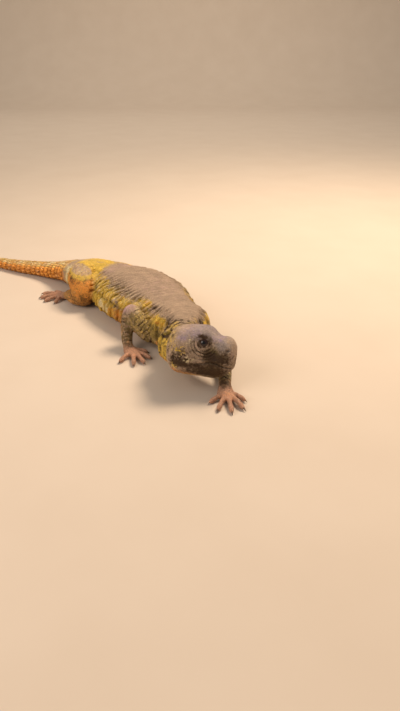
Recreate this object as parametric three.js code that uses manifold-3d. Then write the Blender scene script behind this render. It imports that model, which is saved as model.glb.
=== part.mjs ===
// A spiny-tailed lizard at rest, life size. Millimetres, +X along the trunk towards
// the head, +Y to the animal's left, +Z up, and the floor at Z = 0.
import * as THREE from "three";
import { mergeVertices } from "three/addons/utils/BufferGeometryUtils.js";
import Module from "manifold-3d";

const wasm = await Module();
wasm.setup();

const FLOOR = 0;
const GAP = 0.3;
const UP = new THREE.Vector3(0, 0, 1);
const TAU = 2 * Math.PI;
const ROUND_END = [1.3, 0.75];

// Spine stations from the tail's tip to the head: x, y and height of the middle line,
// half width, rise above it and drop below it.
const SPINE = [
  [-205.2, -28.2, 2.8, 1.4, 1.3, 2.8],
  [-195.2, -27.6, 3.2, 3.3, 2.5, 3.2],
  [-179.2, -25.2, 3.9, 4.6, 3.3, 3.9],
  [-161.6, -20.4, 4.6, 5.8, 3.9, 4.6],
  [-144.6, -14, 5.3, 6.8, 4.5, 5.2],
  [-130, -8, 6.2, 7.7, 5, 5.8],
  [-118.4, -4, 7.2, 8.8, 5.6, 6.5],
  [-107.4, -1.2, 9, 10, 6.4, 7.4],
  [-96, 0.7, 11, 11.8, 7.6, 8.4],
  [-84, 1.4, 12.3, 14.6, 9.8, 9.6],
  [-72, 2.5, 12.5, 18.5, 13, 11.5],
  [-60, 4, 12.5, 20, 14.5, 12.8],
  [-48, 6, 12, 22, 15, 12.8],
  [-36, 7.3, 11.5, 26.5, 15.5, 12.5],
  [-22, 7.3, 11.5, 30.3, 17, 12.5],
  [-8, 5.8, 11.5, 31.3, 17.5, 12.5],
  [6, 3, 11.5, 29.8, 17.5, 12.5],
  [20, -0.8, 12, 26.7, 17, 12.6],
  [33, -4.6, 12.5, 23.2, 16, 12.8],
  [44, -7.8, 13, 20.4, 15.5, 12.6],
  [54, -10.8, 14.5, 18.2, 14.5, 13.2],
  [62, -15, 16.5, 15.6, 13.6, 12.2],
  [68.5, -20.2, 18, 13.6, 12.8, 10.8],
  [74, -25.4, 19, 13.6, 12.4, 10.6],
  [79, -30.8, 19.8, 14.6, 12.6, 12.4],
  [84.5, -35, 20.2, 12.2, 10.8, 10.8],
];
const ROUND_ABOVE = 2.25;
const ROUND_BELOW = 2.9;

// Lengths of the body from the tail's tip forwards: name, far end, rings and sides.
const LENGTHS = [
  ["tail_4", -176.5, 7, 14],
  ["tail_3", -149.5, 5, 16],
  ["tail_2", -122.6, 5, 16],
  ["tail_1", -89.8, 7, 18],
  ["hips", -59, 8, 26],
  ["torso", 57.5, 39, 26],
  ["neck", 83.2, 8, 26],
];

// Loose skin: folds down each flank, one long roll low on each side, and pleats down
// each side of the chest and neck, which lean forwards as they rise.
const FOLD = { from: -56, to: 50, fade: 14, pitch: 8.6, depth: 0.6, lean: 0.3 };
const ROLL = { from: -52, to: 26, angle: -0.42, spread: 0.17, depth: 1.1 };
const PLEATS = [
  { at: 56.5, lean: -2, reach: 4.6, push: 2.4 },
  { at: 72.5, lean: 4, reach: 5.4, push: -4 },
  { at: 83, lean: 1, reach: 2.6, push: 0.8 },
];

// Head stations in the head's own frame: x, half width, top and underside.
const HEAD = [
  [0.5, 6, 7, -5.4],
  [2, 9.6, 10.4, -8.6],
  [4.5, 13.2, 12.8, -11.4],
  [8.5, 16, 14, -12.8],
  [13, 16.2, 14.6, -13],
  [18, 14.8, 15, -13],
  [22.5, 13, 14.7, -12.8],
  [26.5, 11.2, 13, -13],
  [30, 9.8, 11.8, -12.6],
  [33.5, 9, 12, -11.2],
  [36.5, 7.8, 11, -8.6],
  [38.6, 5.6, 8.6, -6.4],
  [39.6, 2.8, 5.2, -3.6],
];
const HEAD_AT = [79.5, -40.5, 20.4];
const HEAD_TURN = { yaw: 25.5, pitch: 1.5, roll: -14 };
const HEAD_LEVEL = 1;
const HEAD_POWER = 2.35;
const HEAD_STEPS = 29;
const HEAD_SIDES = 26;

function catmull(table, u) {
  const last = table.length - 1;
  const i = Math.min(Math.max(Math.floor(u), 0), last - 1);
  const t = u - i;
  const [a, b, c, d] = [i - 1, i, i + 1, i + 2].map(
    (k) => table[Math.min(Math.max(k, 0), last)],
  );
  return b.map(
    (v, k) =>
      0.5 *
      (2 * v +
        (c[k] - a[k]) * t +
        (2 * a[k] - 5 * v + 4 * c[k] - d[k]) * t * t +
        (3 * v - a[k] - 3 * c[k] + d[k]) * t * t * t),
  );
}

function frameAt(table, u) {
  const point = (v) => new THREE.Vector3(...catmull(table, v).slice(0, 3));
  const forward = point(u + 0.02)
    .sub(point(u - 0.02))
    .normalize();
  const side = UP.clone().cross(forward).normalize();
  return { at: point(u), forward, side, up: forward.clone().cross(side) };
}

// The share of the way round the spine table at which its x reaches a value.
function stationAt(x) {
  let [low, high] = [0, SPINE.length - 1];
  for (let k = 0; k < 40; k++) {
    const middle = (low + high) / 2;
    if (catmull(SPINE, middle)[0] < x) low = middle;
    else high = middle;
  }
  return (low + high) / 2;
}

function ease(value, from, to) {
  const t = Math.min(Math.max((value - from) / (to - from), 0), 1);
  return t * t * (3 - 2 * t);
}

function power(value, n) {
  return Math.sign(value) * Math.abs(value) ** (2 / n);
}

function lift(point) {
  point.z = Math.max(point.z, FLOOR);
  return point;
}

// Closes rings of points, each of the same count, into one solid with flat ends.
function loft(rings) {
  const count = rings[0].length;
  const points = rings.flat();
  const faces = [];
  for (let r = 0; r + 1 < rings.length; r++)
    for (let k = 0; k < count; k++) {
      const [a, b] = [r * count + k, r * count + ((k + 1) % count)];
      faces.push([a, b, b + count], [a, b + count, a + count]);
    }
  const last = (rings.length - 1) * count;
  for (let k = 1; k + 1 < count; k++) {
    faces.push([0, k + 1, k]);
    faces.push([last, last + k, last + k + 1]);
  }
  return solidFrom(points, faces);
}

function solidFrom(points, faces) {
  const at = faces.flatMap((face) => face.flatMap((k) => points[k].toArray()));
  const geometry = new THREE.BufferGeometry();
  geometry.setAttribute("position", new THREE.Float32BufferAttribute(at, 3));
  return solidOf(geometry);
}

function solidOf(geometry) {
  const bare = geometry.clone();
  bare.deleteAttribute("normal");
  bare.deleteAttribute("uv");
  const merged = mergeVertices(bare, 1e-4);
  const solid = new wasm.Manifold(
    new wasm.Mesh({
      numProp: 3,
      vertProperties: new Float32Array(merged.attributes.position.array),
      triVerts: new Uint32Array(merged.index.array),
    }),
  );
  return solid;
}

function largest(solid) {
  return solid
    .decompose()
    .reduce((best, next) => (next.volume() > best.volume() ? next : best));
}

function within(x, { from, to }, fade) {
  return ease(x, from, from + fade) * (1 - ease(x, to - fade, to));
}

function looseSkin(x, angle) {
  const rise = Math.asin(Math.sin(angle));
  const flank = Math.cos(angle) ** 2;
  const wave = Math.sin(TAU * (x / FOLD.pitch + FOLD.lean * rise));
  const folds = FOLD.depth * wave * flank * within(x, FOLD, FOLD.fade);
  const furrow = Math.exp(-(((rise - ROLL.angle) / ROLL.spread) ** 2));
  const pleats = PLEATS.reduce((sum, { at, lean, reach, push }) => {
    const far = (x - at - lean * rise) / reach;
    return sum + push * Math.exp(-(far ** 2)) * flank;
  }, 0);
  return folds - ROLL.depth * furrow * within(x, ROLL, FOLD.fade) + pleats;
}

// A point of the body: round above, flatter below, and never under the floor.
function bodyPoint(u, angle, grow = 0) {
  const { at, side, up } = frameAt(SPINE, u);
  const [x, , , width, rise, drop] = catmull(SPINE, u);
  const above = Math.sin(angle) >= 0;
  const n = above ? ROUND_ABOVE : ROUND_BELOW;
  const push = grow + looseSkin(x, angle);
  const across = (width + push) * power(Math.cos(angle), n);
  const high = ((above ? rise : drop) + push) * power(Math.sin(angle), n);
  return lift(at.addScaledVector(side, across).addScaledVector(up, high));
}

function bodySolid(from, to, steps, count, grow = 0) {
  const rings = [];
  for (let k = 0; k <= steps; k++)
    rings.push(
      Array.from({ length: count }, (_, n) =>
        bodyPoint(from + ((to - from) * k) / steps, (n / count) * TAU, grow),
      ),
    );
  return loft(rings);
}

// Half of the gap between two lengths, as a share of the stations where they meet.
function halfGap(u) {
  const [a, b] = [u - 0.05, u + 0.05].map(
    (v) => new THREE.Vector3(...catmull(SPINE, v).slice(0, 3)),
  );
  return (0.1 * GAP) / 2 / a.distanceTo(b);
}

// Whorls of spiny scales round the tail, from its root to its tip.
const WHORL = { first: -92.5, pitch: 5.4, count: 20, long: 3.7, short: 2.3, sink: 0.8 };
const SPIKE_TILT = THREE.MathUtils.degToRad(38);

// A repeatable number between -1 and 1 for a count.
function jitter(n) {
  const value = Math.sin(n * 12.9898 + 4.1414) * 43758.5453;
  return 2 * (value - Math.floor(value)) - 1;
}

// A pointed scale with a keel, rising from a base that is sunk into the skin.
function spike(root, outward, back, length, sink) {
  const across = outward.clone().cross(back).normalize();
  const base = root.clone().addScaledVector(outward, -sink);
  const corner = (along, aside) =>
    base
      .clone()
      .addScaledVector(back, along * length)
      .addScaledVector(across, aside * length);
  const tip = root
    .clone()
    .addScaledVector(back, length * Math.cos(SPIKE_TILT))
    .addScaledVector(outward, length * Math.sin(SPIKE_TILT));
  const points = [corner(-0.55, 0), corner(0.3, -0.42), corner(0.3, 0.42), tip];
  const faces = [
    [0, 1, 3],
    [1, 2, 3],
    [2, 0, 3],
    [0, 2, 1],
  ];
  return solidFrom(points, faces);
}

function tailSpikes(from, to) {
  const spikes = [];
  for (let k = 0; k < WHORL.count; k++) {
    const u = stationAt(WHORL.first - k * WHORL.pitch);
    if (u < from || u > to) continue;
    const size = 1 - 0.45 * (k / WHORL.count);
    const around = Math.round(10.4 - 3 * (k / WHORL.count));
    for (let n = 0; n < around; n++) {
      const share = n / (around - 1);
      const angle = THREE.MathUtils.degToRad(-22 + 224 * share);
      const wide = Math.abs(Math.cos(angle));
      const length = size * (WHORL.short + (WHORL.long - WHORL.short) * wide);
      const root = bodyPoint(u, angle);
      const { at, forward } = frameAt(SPINE, u);
      const outward = root.clone().sub(at).normalize();
      const grown = length * (1 + 0.1 * jitter(k * 17 + n));
      spikes.push(spike(root, outward, forward.negate(), grown, WHORL.sink * size));
    }
  }
  return spikes;
}

function headPlace() {
  const { yaw, pitch, roll } = HEAD_TURN;
  const turn = new THREE.Euler(
    THREE.MathUtils.degToRad(roll),
    THREE.MathUtils.degToRad(pitch),
    THREE.MathUtils.degToRad(yaw),
    "ZYX",
  );
  return new THREE.Matrix4()
    .makeRotationFromEuler(turn)
    .setPosition(...HEAD_AT);
}
const HEAD_PLACE = headPlace();

// Swellings and hollows of the head: centre, reach along x, y and z, and outward push.
const HEAD_BUMPS = [
  { at: [21.5, 8.5, 13.5], reach: [6.5, 4, 4], push: 1.5 },
  { at: [10, 12, 9], reach: [7, 6, 6], push: 0.9 },
  { at: [12, 14, -6], reach: [7, 6, 6], push: 1.2 },
  { at: [29, 9.5, 5], reach: [4, 4, 5], push: -1.7 },
  { at: [34.5, 8, 3], reach: [4, 4, 5], push: 0.8 },
  { at: [23.5, 12, 6], reach: [5.5, 4, 5], push: -0.9 },
  { at: [27, 0, 13], reach: [5, 4, 4], push: -0.9 },
];

function headPush(x, y, z) {
  return HEAD_BUMPS.reduce((sum, { at, reach, push }) => {
    const far = [x - at[0], Math.abs(y) - at[1], z - at[2]];
    const share = far.reduce((total, v, k) => total + (v / reach[k]) ** 2, 0);
    return sum + push * Math.exp(-share);
  }, 0);
}

// A point of the head's surface in its own frame, at a station and an angle round it.
function headPoint(u, angle, grow = 0) {
  const [x, width, top, under] = catmull(HEAD, u);
  const above = Math.sin(angle) >= 0;
  const across = width * power(Math.cos(angle), HEAD_POWER);
  const reach = above ? top - HEAD_LEVEL : HEAD_LEVEL - under;
  const high = reach * power(Math.sin(angle), HEAD_POWER);
  const size = Math.hypot(across, high);
  const scale = (size + grow + headPush(x, across, HEAD_LEVEL + high)) / size;
  return new THREE.Vector3(x, across * scale, HEAD_LEVEL + high * scale);
}

function headSolid(grow) {
  const rings = [];
  for (let k = 0; k <= HEAD_STEPS; k++) {
    const u = ((HEAD.length - 1) * k) / HEAD_STEPS;
    rings.push(
      Array.from({ length: HEAD_SIDES }, (_, n) =>
        headPoint(u, (n / HEAD_SIDES) * TAU, grow),
      ),
    );
  }
  return loft(rings.map((ring) => ring.map((point) => point.applyMatrix4(HEAD_PLACE))));
}

function inHead(points) {
  return points.map((point) => point.clone().applyMatrix4(HEAD_PLACE));
}

// Mouth line of one side: head station and height, from the corner to the snout.
const MOUTH = [
  [5.7, -3.4],
  [6.6, -2.7],
  [7.6, -2.1],
  [8.6, -2.3],
  [9.6, -3.3],
  [10.5, -4.2],
  [11.2, -4.5],
];
const MOUTH_FRONT = [38.8, 0, -4.4];
const MOUTH_SLOT = [
  [1.6, 0.28],
  [1.6, -0.28],
  [-1.3, -0.22],
  [-1.3, 0.22],
];
const LIPS = [
  [0.3, 0.9],
  [0.3, -0.9],
  [-0.9, -1.6],
  [-0.9, 1.6],
];

// Sweeps a section of outward reach and height along the mouth, round the snout.
function alongMouth(section) {
  const right = MOUTH.map(([u, z]) => {
    const [x, width, , under] = catmull(HEAD, u);
    const share = (HEAD_LEVEL - z) / (HEAD_LEVEL - under);
    const across = width * (1 - share ** HEAD_POWER) ** (1 / HEAD_POWER);
    return new THREE.Vector3(x, -across - headPush(x, across, z), z);
  });
  const left = right.map((p) => new THREE.Vector3(p.x, -p.y, p.z)).reverse();
  const path = [...right, new THREE.Vector3(...MOUTH_FRONT), ...left];
  const last = path.length - 1;
  const rings = path.map((p, k) => {
    const along = path[Math.min(k + 1, last)].clone().sub(path[Math.max(k - 1, 0)]);
    const out = new THREE.Vector3(along.y, -along.x, 0).normalize();
    const spot = ([reach, rise]) => p.clone().addScaledVector(out, reach).addScaledVector(UP, rise);
    return inHead(section.map(spot));
  });
  return loft(rings);
}

function ball(at, [rx, ry, rz], turn = 0, detail = 2) {
  const geometry = new THREE.IcosahedronGeometry(1, detail);
  geometry.scale(rx, ry, rz);
  geometry.rotateY(turn);
  geometry.translate(...at);
  geometry.applyMatrix4(HEAD_PLACE);
  return solidOf(geometry);
}

const EYE = { at: [23, 8, 8], radius: 2.9, lid: 1.05 };
const EYE_LOOK = new THREE.Vector3(0.22, 0.93, 0.24).normalize();
const EYE_OPENING = [2.35, 1.75];
const NOSTRIL = { at: [36.9, 7.2, 5.6], radii: [0.9, 1.3, 0.65] };
const EAR = { at: [8.4, 16.2, -2.6], radii: [1.1, 1.7, 4.2] };

const sided = ([x, y, z], side) => [x, side * y, z];
const round = (r) => [r, r, r];

// The slit between the lids, as an oval rod along the way the eye looks.
function lidSlit(side) {
  const look = new THREE.Vector3(EYE_LOOK.x, side * EYE_LOOK.y, EYE_LOOK.z);
  const along = new THREE.Vector3(1, 0, 0).addScaledVector(look, -look.x).normalize();
  const across = look.clone().cross(along);
  const centre = new THREE.Vector3(...sided(EYE.at, side));
  const ring = (reach) =>
    Array.from({ length: 12 }, (_, k) => {
      const angle = (k / 12) * TAU;
      return centre
        .clone()
        .addScaledVector(look, reach)
        .addScaledVector(along, EYE_OPENING[0] * Math.cos(angle))
        .addScaledVector(across, EYE_OPENING[1] * Math.sin(angle));
    });
  return loft([inHead(ring(0.5)), inHead(ring(7))]);
}

function finishedHead() {
  let head = headSolid(0);
  for (const side of [1, -1]) {
    const eye = sided(EYE.at, side);
    head = head
      .add(ball(eye, round(EYE.radius + GAP + EYE.lid)))
      .subtract(ball(eye, round(EYE.radius + GAP)))
      .subtract(lidSlit(side))
      .subtract(ball(sided(NOSTRIL.at, side), NOSTRIL.radii, 0, 1))
      .subtract(ball(sided(EAR.at, side), EAR.radii, 0.25, 1));
  }
  return head.add(alongMouth(LIPS)).subtract(alongMouth(MOUTH_SLOT));
}

// A limb piece swept along stations of x, y, z, half width and half depth, with round ends.
function limbSolid(table, grow = 0, steps = 5, count = 12) {
  const last = table.length - 1;
  const rings = [];
  for (const turn of ROUND_END) rings.push(limbRing(table, 0, -turn, count, grow));
  for (let k = 0; k <= steps; k++)
    rings.push(limbRing(table, (last * k) / steps, 0, count, grow));
  for (const turn of [...ROUND_END].reverse())
    rings.push(limbRing(table, last, turn, count, grow));
  return loft(rings);
}

// Rows of pointed scales along one side of a leg, at an angle round it.
const LEG_SPIKES = { from: 0.6, to: 2, count: 4, length: 2.9, sink: 0.6, apart: 0.42 };

function legSpikes(table, angle) {
  const spikes = [];
  for (let k = 0; k < LEG_SPIKES.count; k++)
    for (const row of [-1, 1]) {
      const share = (k + 0.25 * row) / (LEG_SPIKES.count - 1);
      const u = LEG_SPIKES.from + (LEG_SPIKES.to - LEG_SPIKES.from) * share;
      const { at, forward, side, up } = frameAt(table, u);
      const [, , , width, depth] = catmull(table, u);
      const turn = angle + row * LEG_SPIKES.apart;
      const reach = side
        .multiplyScalar(width * Math.cos(turn))
        .addScaledVector(up, depth * Math.sin(turn));
      const root = at.clone().add(reach);
      spikes.push(spike(root, reach.normalize(), forward, LEG_SPIKES.length, LEG_SPIKES.sink));
    }
  return spikes;
}

function limbRing(table, u, turn, count, grow) {
  const { at, forward, side, up } = frameAt(table, u);
  const [, , , width, depth] = catmull(table, u).map((v, k) => (k > 2 ? v + grow : v));
  const shrink = Math.cos(turn);
  at.addScaledVector(forward, Math.min(width, depth) * Math.sin(turn));
  return Array.from({ length: count }, (_, k) => {
    const angle = (k / count) * TAU;
    return lift(
      at
        .clone()
        .addScaledVector(side, width * shrink * Math.cos(angle))
        .addScaledVector(up, depth * shrink * Math.sin(angle)),
    );
  });
}

// Limb stations: x, y, z, half width and half depth, from the body outwards.
const LIMBS = {
  upper_arm_right: [
    [47, -18, 8.5, 6, 6.4],
    [42.5, -26, 11, 6.2, 6.6],
    [36.5, -29.2, 17, 6, 6.3],
    [30, -30.8, 22.4, 5.5, 5.7],
  ],
  forearm_right: [
    [28.5, -31.5, 20.8, 4.6, 5],
    [30, -35, 14, 4.1, 4.4],
    [34, -38.5, 8.5, 3.5, 3.6],
    [37, -40.5, 5, 3.2, 3.1],
  ],
  hand_right: [
    [37.5, -40.8, 4.4, 3.4, 2.8],
    [41, -41.5, 2.9, 4.6, 2.4],
    [44.5, -42, 2.4, 5, 1.9],
  ],
  upper_arm_left: [
    [58, -8, 12, 6, 6.2],
    [66, -2.5, 11.5, 6, 6.2],
    [76, -3.5, 10, 5.4, 5.6],
    [86, -9, 8.8, 5, 5],
  ],
  forearm_left: [
    [88.5, -8.5, 8.2, 4.6, 4.6],
    [97, -13.5, 6.4, 4.3, 4.2],
    [105, -20.5, 4.9, 3.8, 3.6],
    [113.5, -29.2, 4.4, 3.4, 3.2],
  ],
  hand_left: [
    [114, -29.7, 4.2, 3.5, 2.8],
    [117.2, -32.6, 3, 4.6, 2.4],
    [119.8, -35, 2.4, 5, 1.9],
  ],
  thigh_right: [
    [-70, 1, 16, 10, 9.5],
    [-63, -6, 16, 12.6, 12],
    [-53, -12.5, 15, 12.6, 12.6],
    [-45, -18, 12, 10.4, 10.4],
  ],
  shank_right: [
    [-44.5, -21, 9, 7.2, 7.6],
    [-52, -23, 7, 6, 6],
    [-59, -22, 5.2, 4.8, 4.8],
    [-64, -21, 4.6, 4.2, 4],
  ],
  foot_right: [
    [-64.5, -21, 4.2, 4, 3.4],
    [-69, -22.5, 2.9, 4.8, 2.5],
    [-73, -24.5, 2.4, 5.2, 2],
  ],
  thigh_left: [
    [-72, 6, 13, 9.5, 9],
    [-66, 13, 12.5, 11.5, 10.5],
    [-58, 22, 11.5, 11, 10.5],
    [-51, 30, 10, 9.5, 9],
  ],
  shank_left: [
    [-50.5, 33, 8.5, 7, 7],
    [-57, 35.5, 7, 6, 6],
    [-65, 35.5, 5.2, 4.8, 4.8],
    [-71, 35, 4.6, 4.2, 4],
  ],
  foot_left: [
    [-71.5, 35, 4.2, 4, 3.4],
    [-76, 37, 2.9, 4.8, 2.5],
    [-80, 39.5, 2.4, 5.2, 2],
  ],
};

// Digits: x and y of the root, heading in degrees, length with the claw, half width.
const DIGITS = {
  hand_right: [
    [42, -37.5, 38, 9, 1.35],
    [46, -38.8, 14, 11.5, 1.4],
    [47.8, -41.2, -12, 12.5, 1.4],
    [47.4, -44, -36, 12, 1.4],
    [43.5, -46, -72, 10, 1.35],
  ],
  hand_left: [
    [120.4, -30.6, 8, 11, 1.35],
    [123, -33.2, -13, 14.5, 1.4],
    [123.4, -36.2, -37, 14, 1.4],
    [121.4, -38.4, -63, 12, 1.4],
    [117.8, -37.6, -93, 9, 1.35],
  ],
  foot_right: [
    [-68.5, -27.5, -62, 9, 1.45],
    [-73, -29, -92, 11, 1.5],
    [-76.4, -27.8, -118, 13, 1.55],
    [-77.8, -24.8, -146, 14.5, 1.55],
    [-75, -21.2, -172, 11.5, 1.45],
  ],
  foot_left: [
    [-77, 43, 74, 9, 1.45],
    [-81.6, 43.6, 104, 11.5, 1.5],
    [-84, 41.4, 130, 14, 1.55],
    [-84.4, 38.2, 154, 15.5, 1.55],
    [-81.4, 35, 182, 12, 1.45],
  ],
};

const DIGIT_SIDES = 5;

// Share of the length, height and share of the half width, from the root to the claw.
const DIGIT_SHAPE = [
  [-0.2, 2.2, 0.92],
  [0.3, 2.5, 0.9],
  [0.55, 2, 1],
  [0.74, 1.5, 0.84],
  [0.78, 1.6, 0.5],
  [0.89, 1.45, 0.38],
  [1, 0.7, 0.1],
];

function digitSolid([x, y, heading, length, radius]) {
  const angle = THREE.MathUtils.degToRad(heading);
  const along = new THREE.Vector3(Math.cos(angle), Math.sin(angle), 0);
  const side = UP.clone().cross(along);
  return loft(
    DIGIT_SHAPE.map(([share, height, scale]) => {
      const at = new THREE.Vector3(x, y, height).addScaledVector(along, share * length);
      return Array.from({ length: DIGIT_SIDES }, (_, k) => {
        const turn = ((k + 0.5) / DIGIT_SIDES) * TAU + TAU / 4;
        const reach = radius * scale;
        return lift(
          at
            .clone()
            .addScaledVector(side, reach * Math.cos(turn))
            .addScaledVector(UP, reach * 1.1 * Math.sin(turn)),
        );
      });
    }),
  );
}

const SKIN = {
  back: "#9a8f7d",
  head: "#6f6a72",
  limb: "#b59a55",
  tail: "#c98a4a",
  eye: "#1a1412",
};

const NODE_SKIN = { neck: SKIN.head, torso: SKIN.back, hips: SKIN.back };

const lizard = new THREE.Group();

function addNode(name, solid, color) {
  const mesh = largest(solid).getMesh();
  const geometry = new THREE.BufferGeometry();
  const points = new THREE.Float32BufferAttribute(mesh.vertProperties, 3);
  geometry.setAttribute("position", points);
  geometry.setIndex(Array.from(mesh.triVerts));
  geometry.computeVertexNormals();
  const material = new THREE.MeshStandardMaterial({ color, roughness: 0.75 });
  const node = new THREE.Mesh(geometry, material);
  node.name = name;
  lizard.add(node);
}

const headGrown = headSolid(GAP).add(alongMouth(LIPS));
const lengthsGrown = [];

addNode("head", finishedHead(), SKIN.head);
addNode("eye_right", ball(sided(EYE.at, -1), round(EYE.radius)), SKIN.eye);
addNode("eye_left", ball(sided(EYE.at, 1), round(EYE.radius)), SKIN.eye);

let start = 0;
for (const [name, end, steps, count] of LENGTHS) {
  const far = stationAt(end);
  const near = start === 0 ? 0 : start + halfGap(start);
  const bare = bodySolid(near, far - halfGap(far), steps, count);
  const spikes = name.startsWith("tail") ? tailSpikes(start, far) : [];
  const body = wasm.Manifold.union([bare, ...spikes]);
  addNode(name, name === "neck" ? body.subtract(headGrown) : body, NODE_SKIN[name] ?? SKIN.tail);
  lengthsGrown.push(bodySolid(start, far + halfGap(far), steps, count, GAP));
  start = far;
}
const bodyGrown = wasm.Manifold.union(lengthsGrown);

for (const [side, rear] of [
  ["right", Math.PI],
  ["left", 0],
])
  for (const [upper, lower, end] of [
    ["upper_arm", "forearm", "hand"],
    ["thigh", "shank", "foot"],
  ]) {
    const name = (part) => `${part}_${side}`;
    const table = (part) => LIMBS[name(part)];
    const leg = upper === "thigh";
    const rows = (part, angle) => (leg ? legSpikes(table(part), angle) : []);
    const upperGrown = limbSolid(table(upper), GAP);
    const lowerGrown = limbSolid(table(lower), GAP);
    const upperRows = rows(upper, rear).map((row) => row.subtract(lowerGrown));
    const upperSolid = wasm.Manifold.union([limbSolid(table(upper)), ...upperRows]);
    const lowerRows = rows(lower, Math.PI - rear);
    const lowerSolid = wasm.Manifold.union([limbSolid(table(lower)), ...lowerRows]);
    const digits = DIGITS[name(end)].map((row) => digitSolid(row));
    const paw = wasm.Manifold.union([limbSolid(table(end), 0, 4, 10), ...digits]);
    addNode(name(upper), upperSolid.subtract(bodyGrown), SKIN.limb);
    addNode(
      name(lower),
      lowerSolid.subtract(upperGrown).subtract(bodyGrown).subtract(headGrown),
      SKIN.limb,
    );
    addNode(
      name(end),
      paw.subtract(lowerGrown).subtract(upperGrown).subtract(bodyGrown),
      SKIN.limb,
    );
  }

export default lizard;
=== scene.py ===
"""A spiny-tailed desert lizard at rest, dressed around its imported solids.

Sizes in the classes are millimetres in the frame of the solids: +X along the trunk
towards the head, +Y to the animal's left, +Z up, and the floor at Z = 0.
"""

import logging
import math
from dataclasses import dataclass, field, fields
from enum import Enum
from itertools import product
from typing import Optional, Sequence

import bmesh
import bpy
import numpy as np
from mathutils import Euler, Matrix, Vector
from mathutils.bvhtree import BVHTree
from mathutils.kdtree import KDTree

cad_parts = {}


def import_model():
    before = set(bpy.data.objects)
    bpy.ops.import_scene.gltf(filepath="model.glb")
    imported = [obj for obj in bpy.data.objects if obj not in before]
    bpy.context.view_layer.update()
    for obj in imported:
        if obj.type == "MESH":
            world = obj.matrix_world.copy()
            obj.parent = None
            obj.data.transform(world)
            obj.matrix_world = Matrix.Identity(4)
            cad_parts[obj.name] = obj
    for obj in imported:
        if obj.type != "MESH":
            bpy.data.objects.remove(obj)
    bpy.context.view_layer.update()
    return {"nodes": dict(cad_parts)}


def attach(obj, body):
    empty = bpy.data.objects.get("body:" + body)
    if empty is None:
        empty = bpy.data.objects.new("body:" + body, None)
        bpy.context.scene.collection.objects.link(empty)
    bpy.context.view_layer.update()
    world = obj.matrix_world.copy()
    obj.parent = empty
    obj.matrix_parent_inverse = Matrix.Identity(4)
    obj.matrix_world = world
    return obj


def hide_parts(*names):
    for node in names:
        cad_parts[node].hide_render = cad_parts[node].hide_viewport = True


LOG = logging.getLogger("lizard")
MM = 0.001
TAU = 2 * math.pi
UP = np.array([0.0, 0.0, 1.0])
SEED = 11
BODY = "root"
# Points handled at a time, which bounds the memory.
CHUNK = 20000
# A gap in millimetres that stands for out of reach.
FAR = 99.0
# Half the step over which a direction is taken, in stations or radians.
STEP = 0.02
# How far scales stay above the floor, in millimetres.
LIFT = 0.02
# The span along X that the trunk's atlas covers, and the head's length on its own.
ATLAS_START = -216
ATLAS_LENGTH = 304
HEAD_LENGTH = 42
# How many strips the limbs' atlas has.
STRIPS = 16


# Plain geometry helpers


def catmull(table: np.ndarray, u: np.ndarray) -> np.ndarray:
    """Smooth values between the rows of a table.

    Args:
        table: One row per station.
        u: Stations as numbers, where 1.5 is half way from row 1 to row 2.

    Returns:
        One row of values for each u.
    """
    last = len(table) - 1
    i = np.clip(np.floor(u).astype(int), 0, last - 1)
    t = (u - i)[:, None]
    a, b, c, d = (table[np.clip(i + k, 0, last)] for k in (-1, 0, 1, 2))
    linear = (c - a) * t
    square = (2 * a - 5 * b + 4 * c - d) * t**2
    return 0.5 * (2 * b + linear + square + (3 * b - a - 3 * c + d) * t**3)


def unit(v: np.ndarray) -> np.ndarray:
    """Vectors scaled to a length of one."""
    return v / np.maximum(np.linalg.norm(v, axis=-1, keepdims=True), 1e-9)


def power(value: np.ndarray, n: float) -> np.ndarray:
    """The signed power that turns a circle's cosines into a squarer outline's."""
    return np.sign(value) * np.abs(value) ** (2 / n)


def ease(value: np.ndarray, low: float, high: float) -> np.ndarray:
    """A smooth step from 0 at low to 1 at high; low may be the larger."""
    t = np.clip((value - low) / (high - low), 0, 1)
    return t * t * (3 - 2 * t)


def bump(value: np.ndarray, centre: float, reach: float) -> np.ndarray:
    """A smooth hump of height 1 about a centre."""
    return np.exp(-(((value - centre) / reach) ** 2))


def climb(angle: np.ndarray) -> np.ndarray:
    """How far up from the middle of its side a place lies, in radians."""
    return np.arcsin(np.clip(np.sin(angle), -1, 1))


def noise(points: np.ndarray, seed: int = 0) -> np.ndarray:
    """Smooth noise between about -1 and 1, one value a point.

    Args:
        points: Rows of three numbers; the noise varies over steps of about 1.
        seed: Chooses another field of the same kind.

    Returns:
        One value for each row.
    """
    cell = np.floor(points).astype(np.int64)
    part = points - cell
    weight = part * part * (3 - 2 * part)
    total = np.zeros(len(points))
    for corner in product((0, 1), repeat=3):
        x, y, z = (cell + np.array(corner)).T
        mixed = (x * 73856093) ^ (y * 19349663) ^ (z * 83492791) ^ (seed * 26544357)
        mixed = (mixed ^ (mixed >> 13)) * 0x5BD1E995 & 0xFFFFFFFF
        mixed = (mixed ^ (mixed >> 15)) * 0x27D4EB2D & 0xFFFFFFFF
        value = ((mixed >> 8) & 0xFFFF) / 32767.5 - 1
        share = np.prod(np.where(corner, weight, 1 - weight), axis=1)
        total += value * share
    return total


def linear_rgb(code: str) -> tuple[float, float, float, float]:
    """A hex sRGB colour such as #a08b78 as linear red, green, blue and alpha.

    Args:
        code: The hex code.

    Returns:
        Four numbers between 0 and 1.
    """
    parts = [int(code[k : k + 2], 16) / 255 for k in (1, 3, 5)]
    flat = [c / 12.92 if c <= 0.04045 else ((c + 0.055) / 1.055) ** 2.4 for c in parts]
    return (flat[0], flat[1], flat[2], 1.0)


# Forms of the animal


class Rows:
    """Data with one row a point in each field."""

    def only(self, chosen: np.ndarray) -> "Rows":
        """The same data for some of the points."""
        return type(self)(*(getattr(self, item.name)[chosen] for item in fields(self)))


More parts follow.
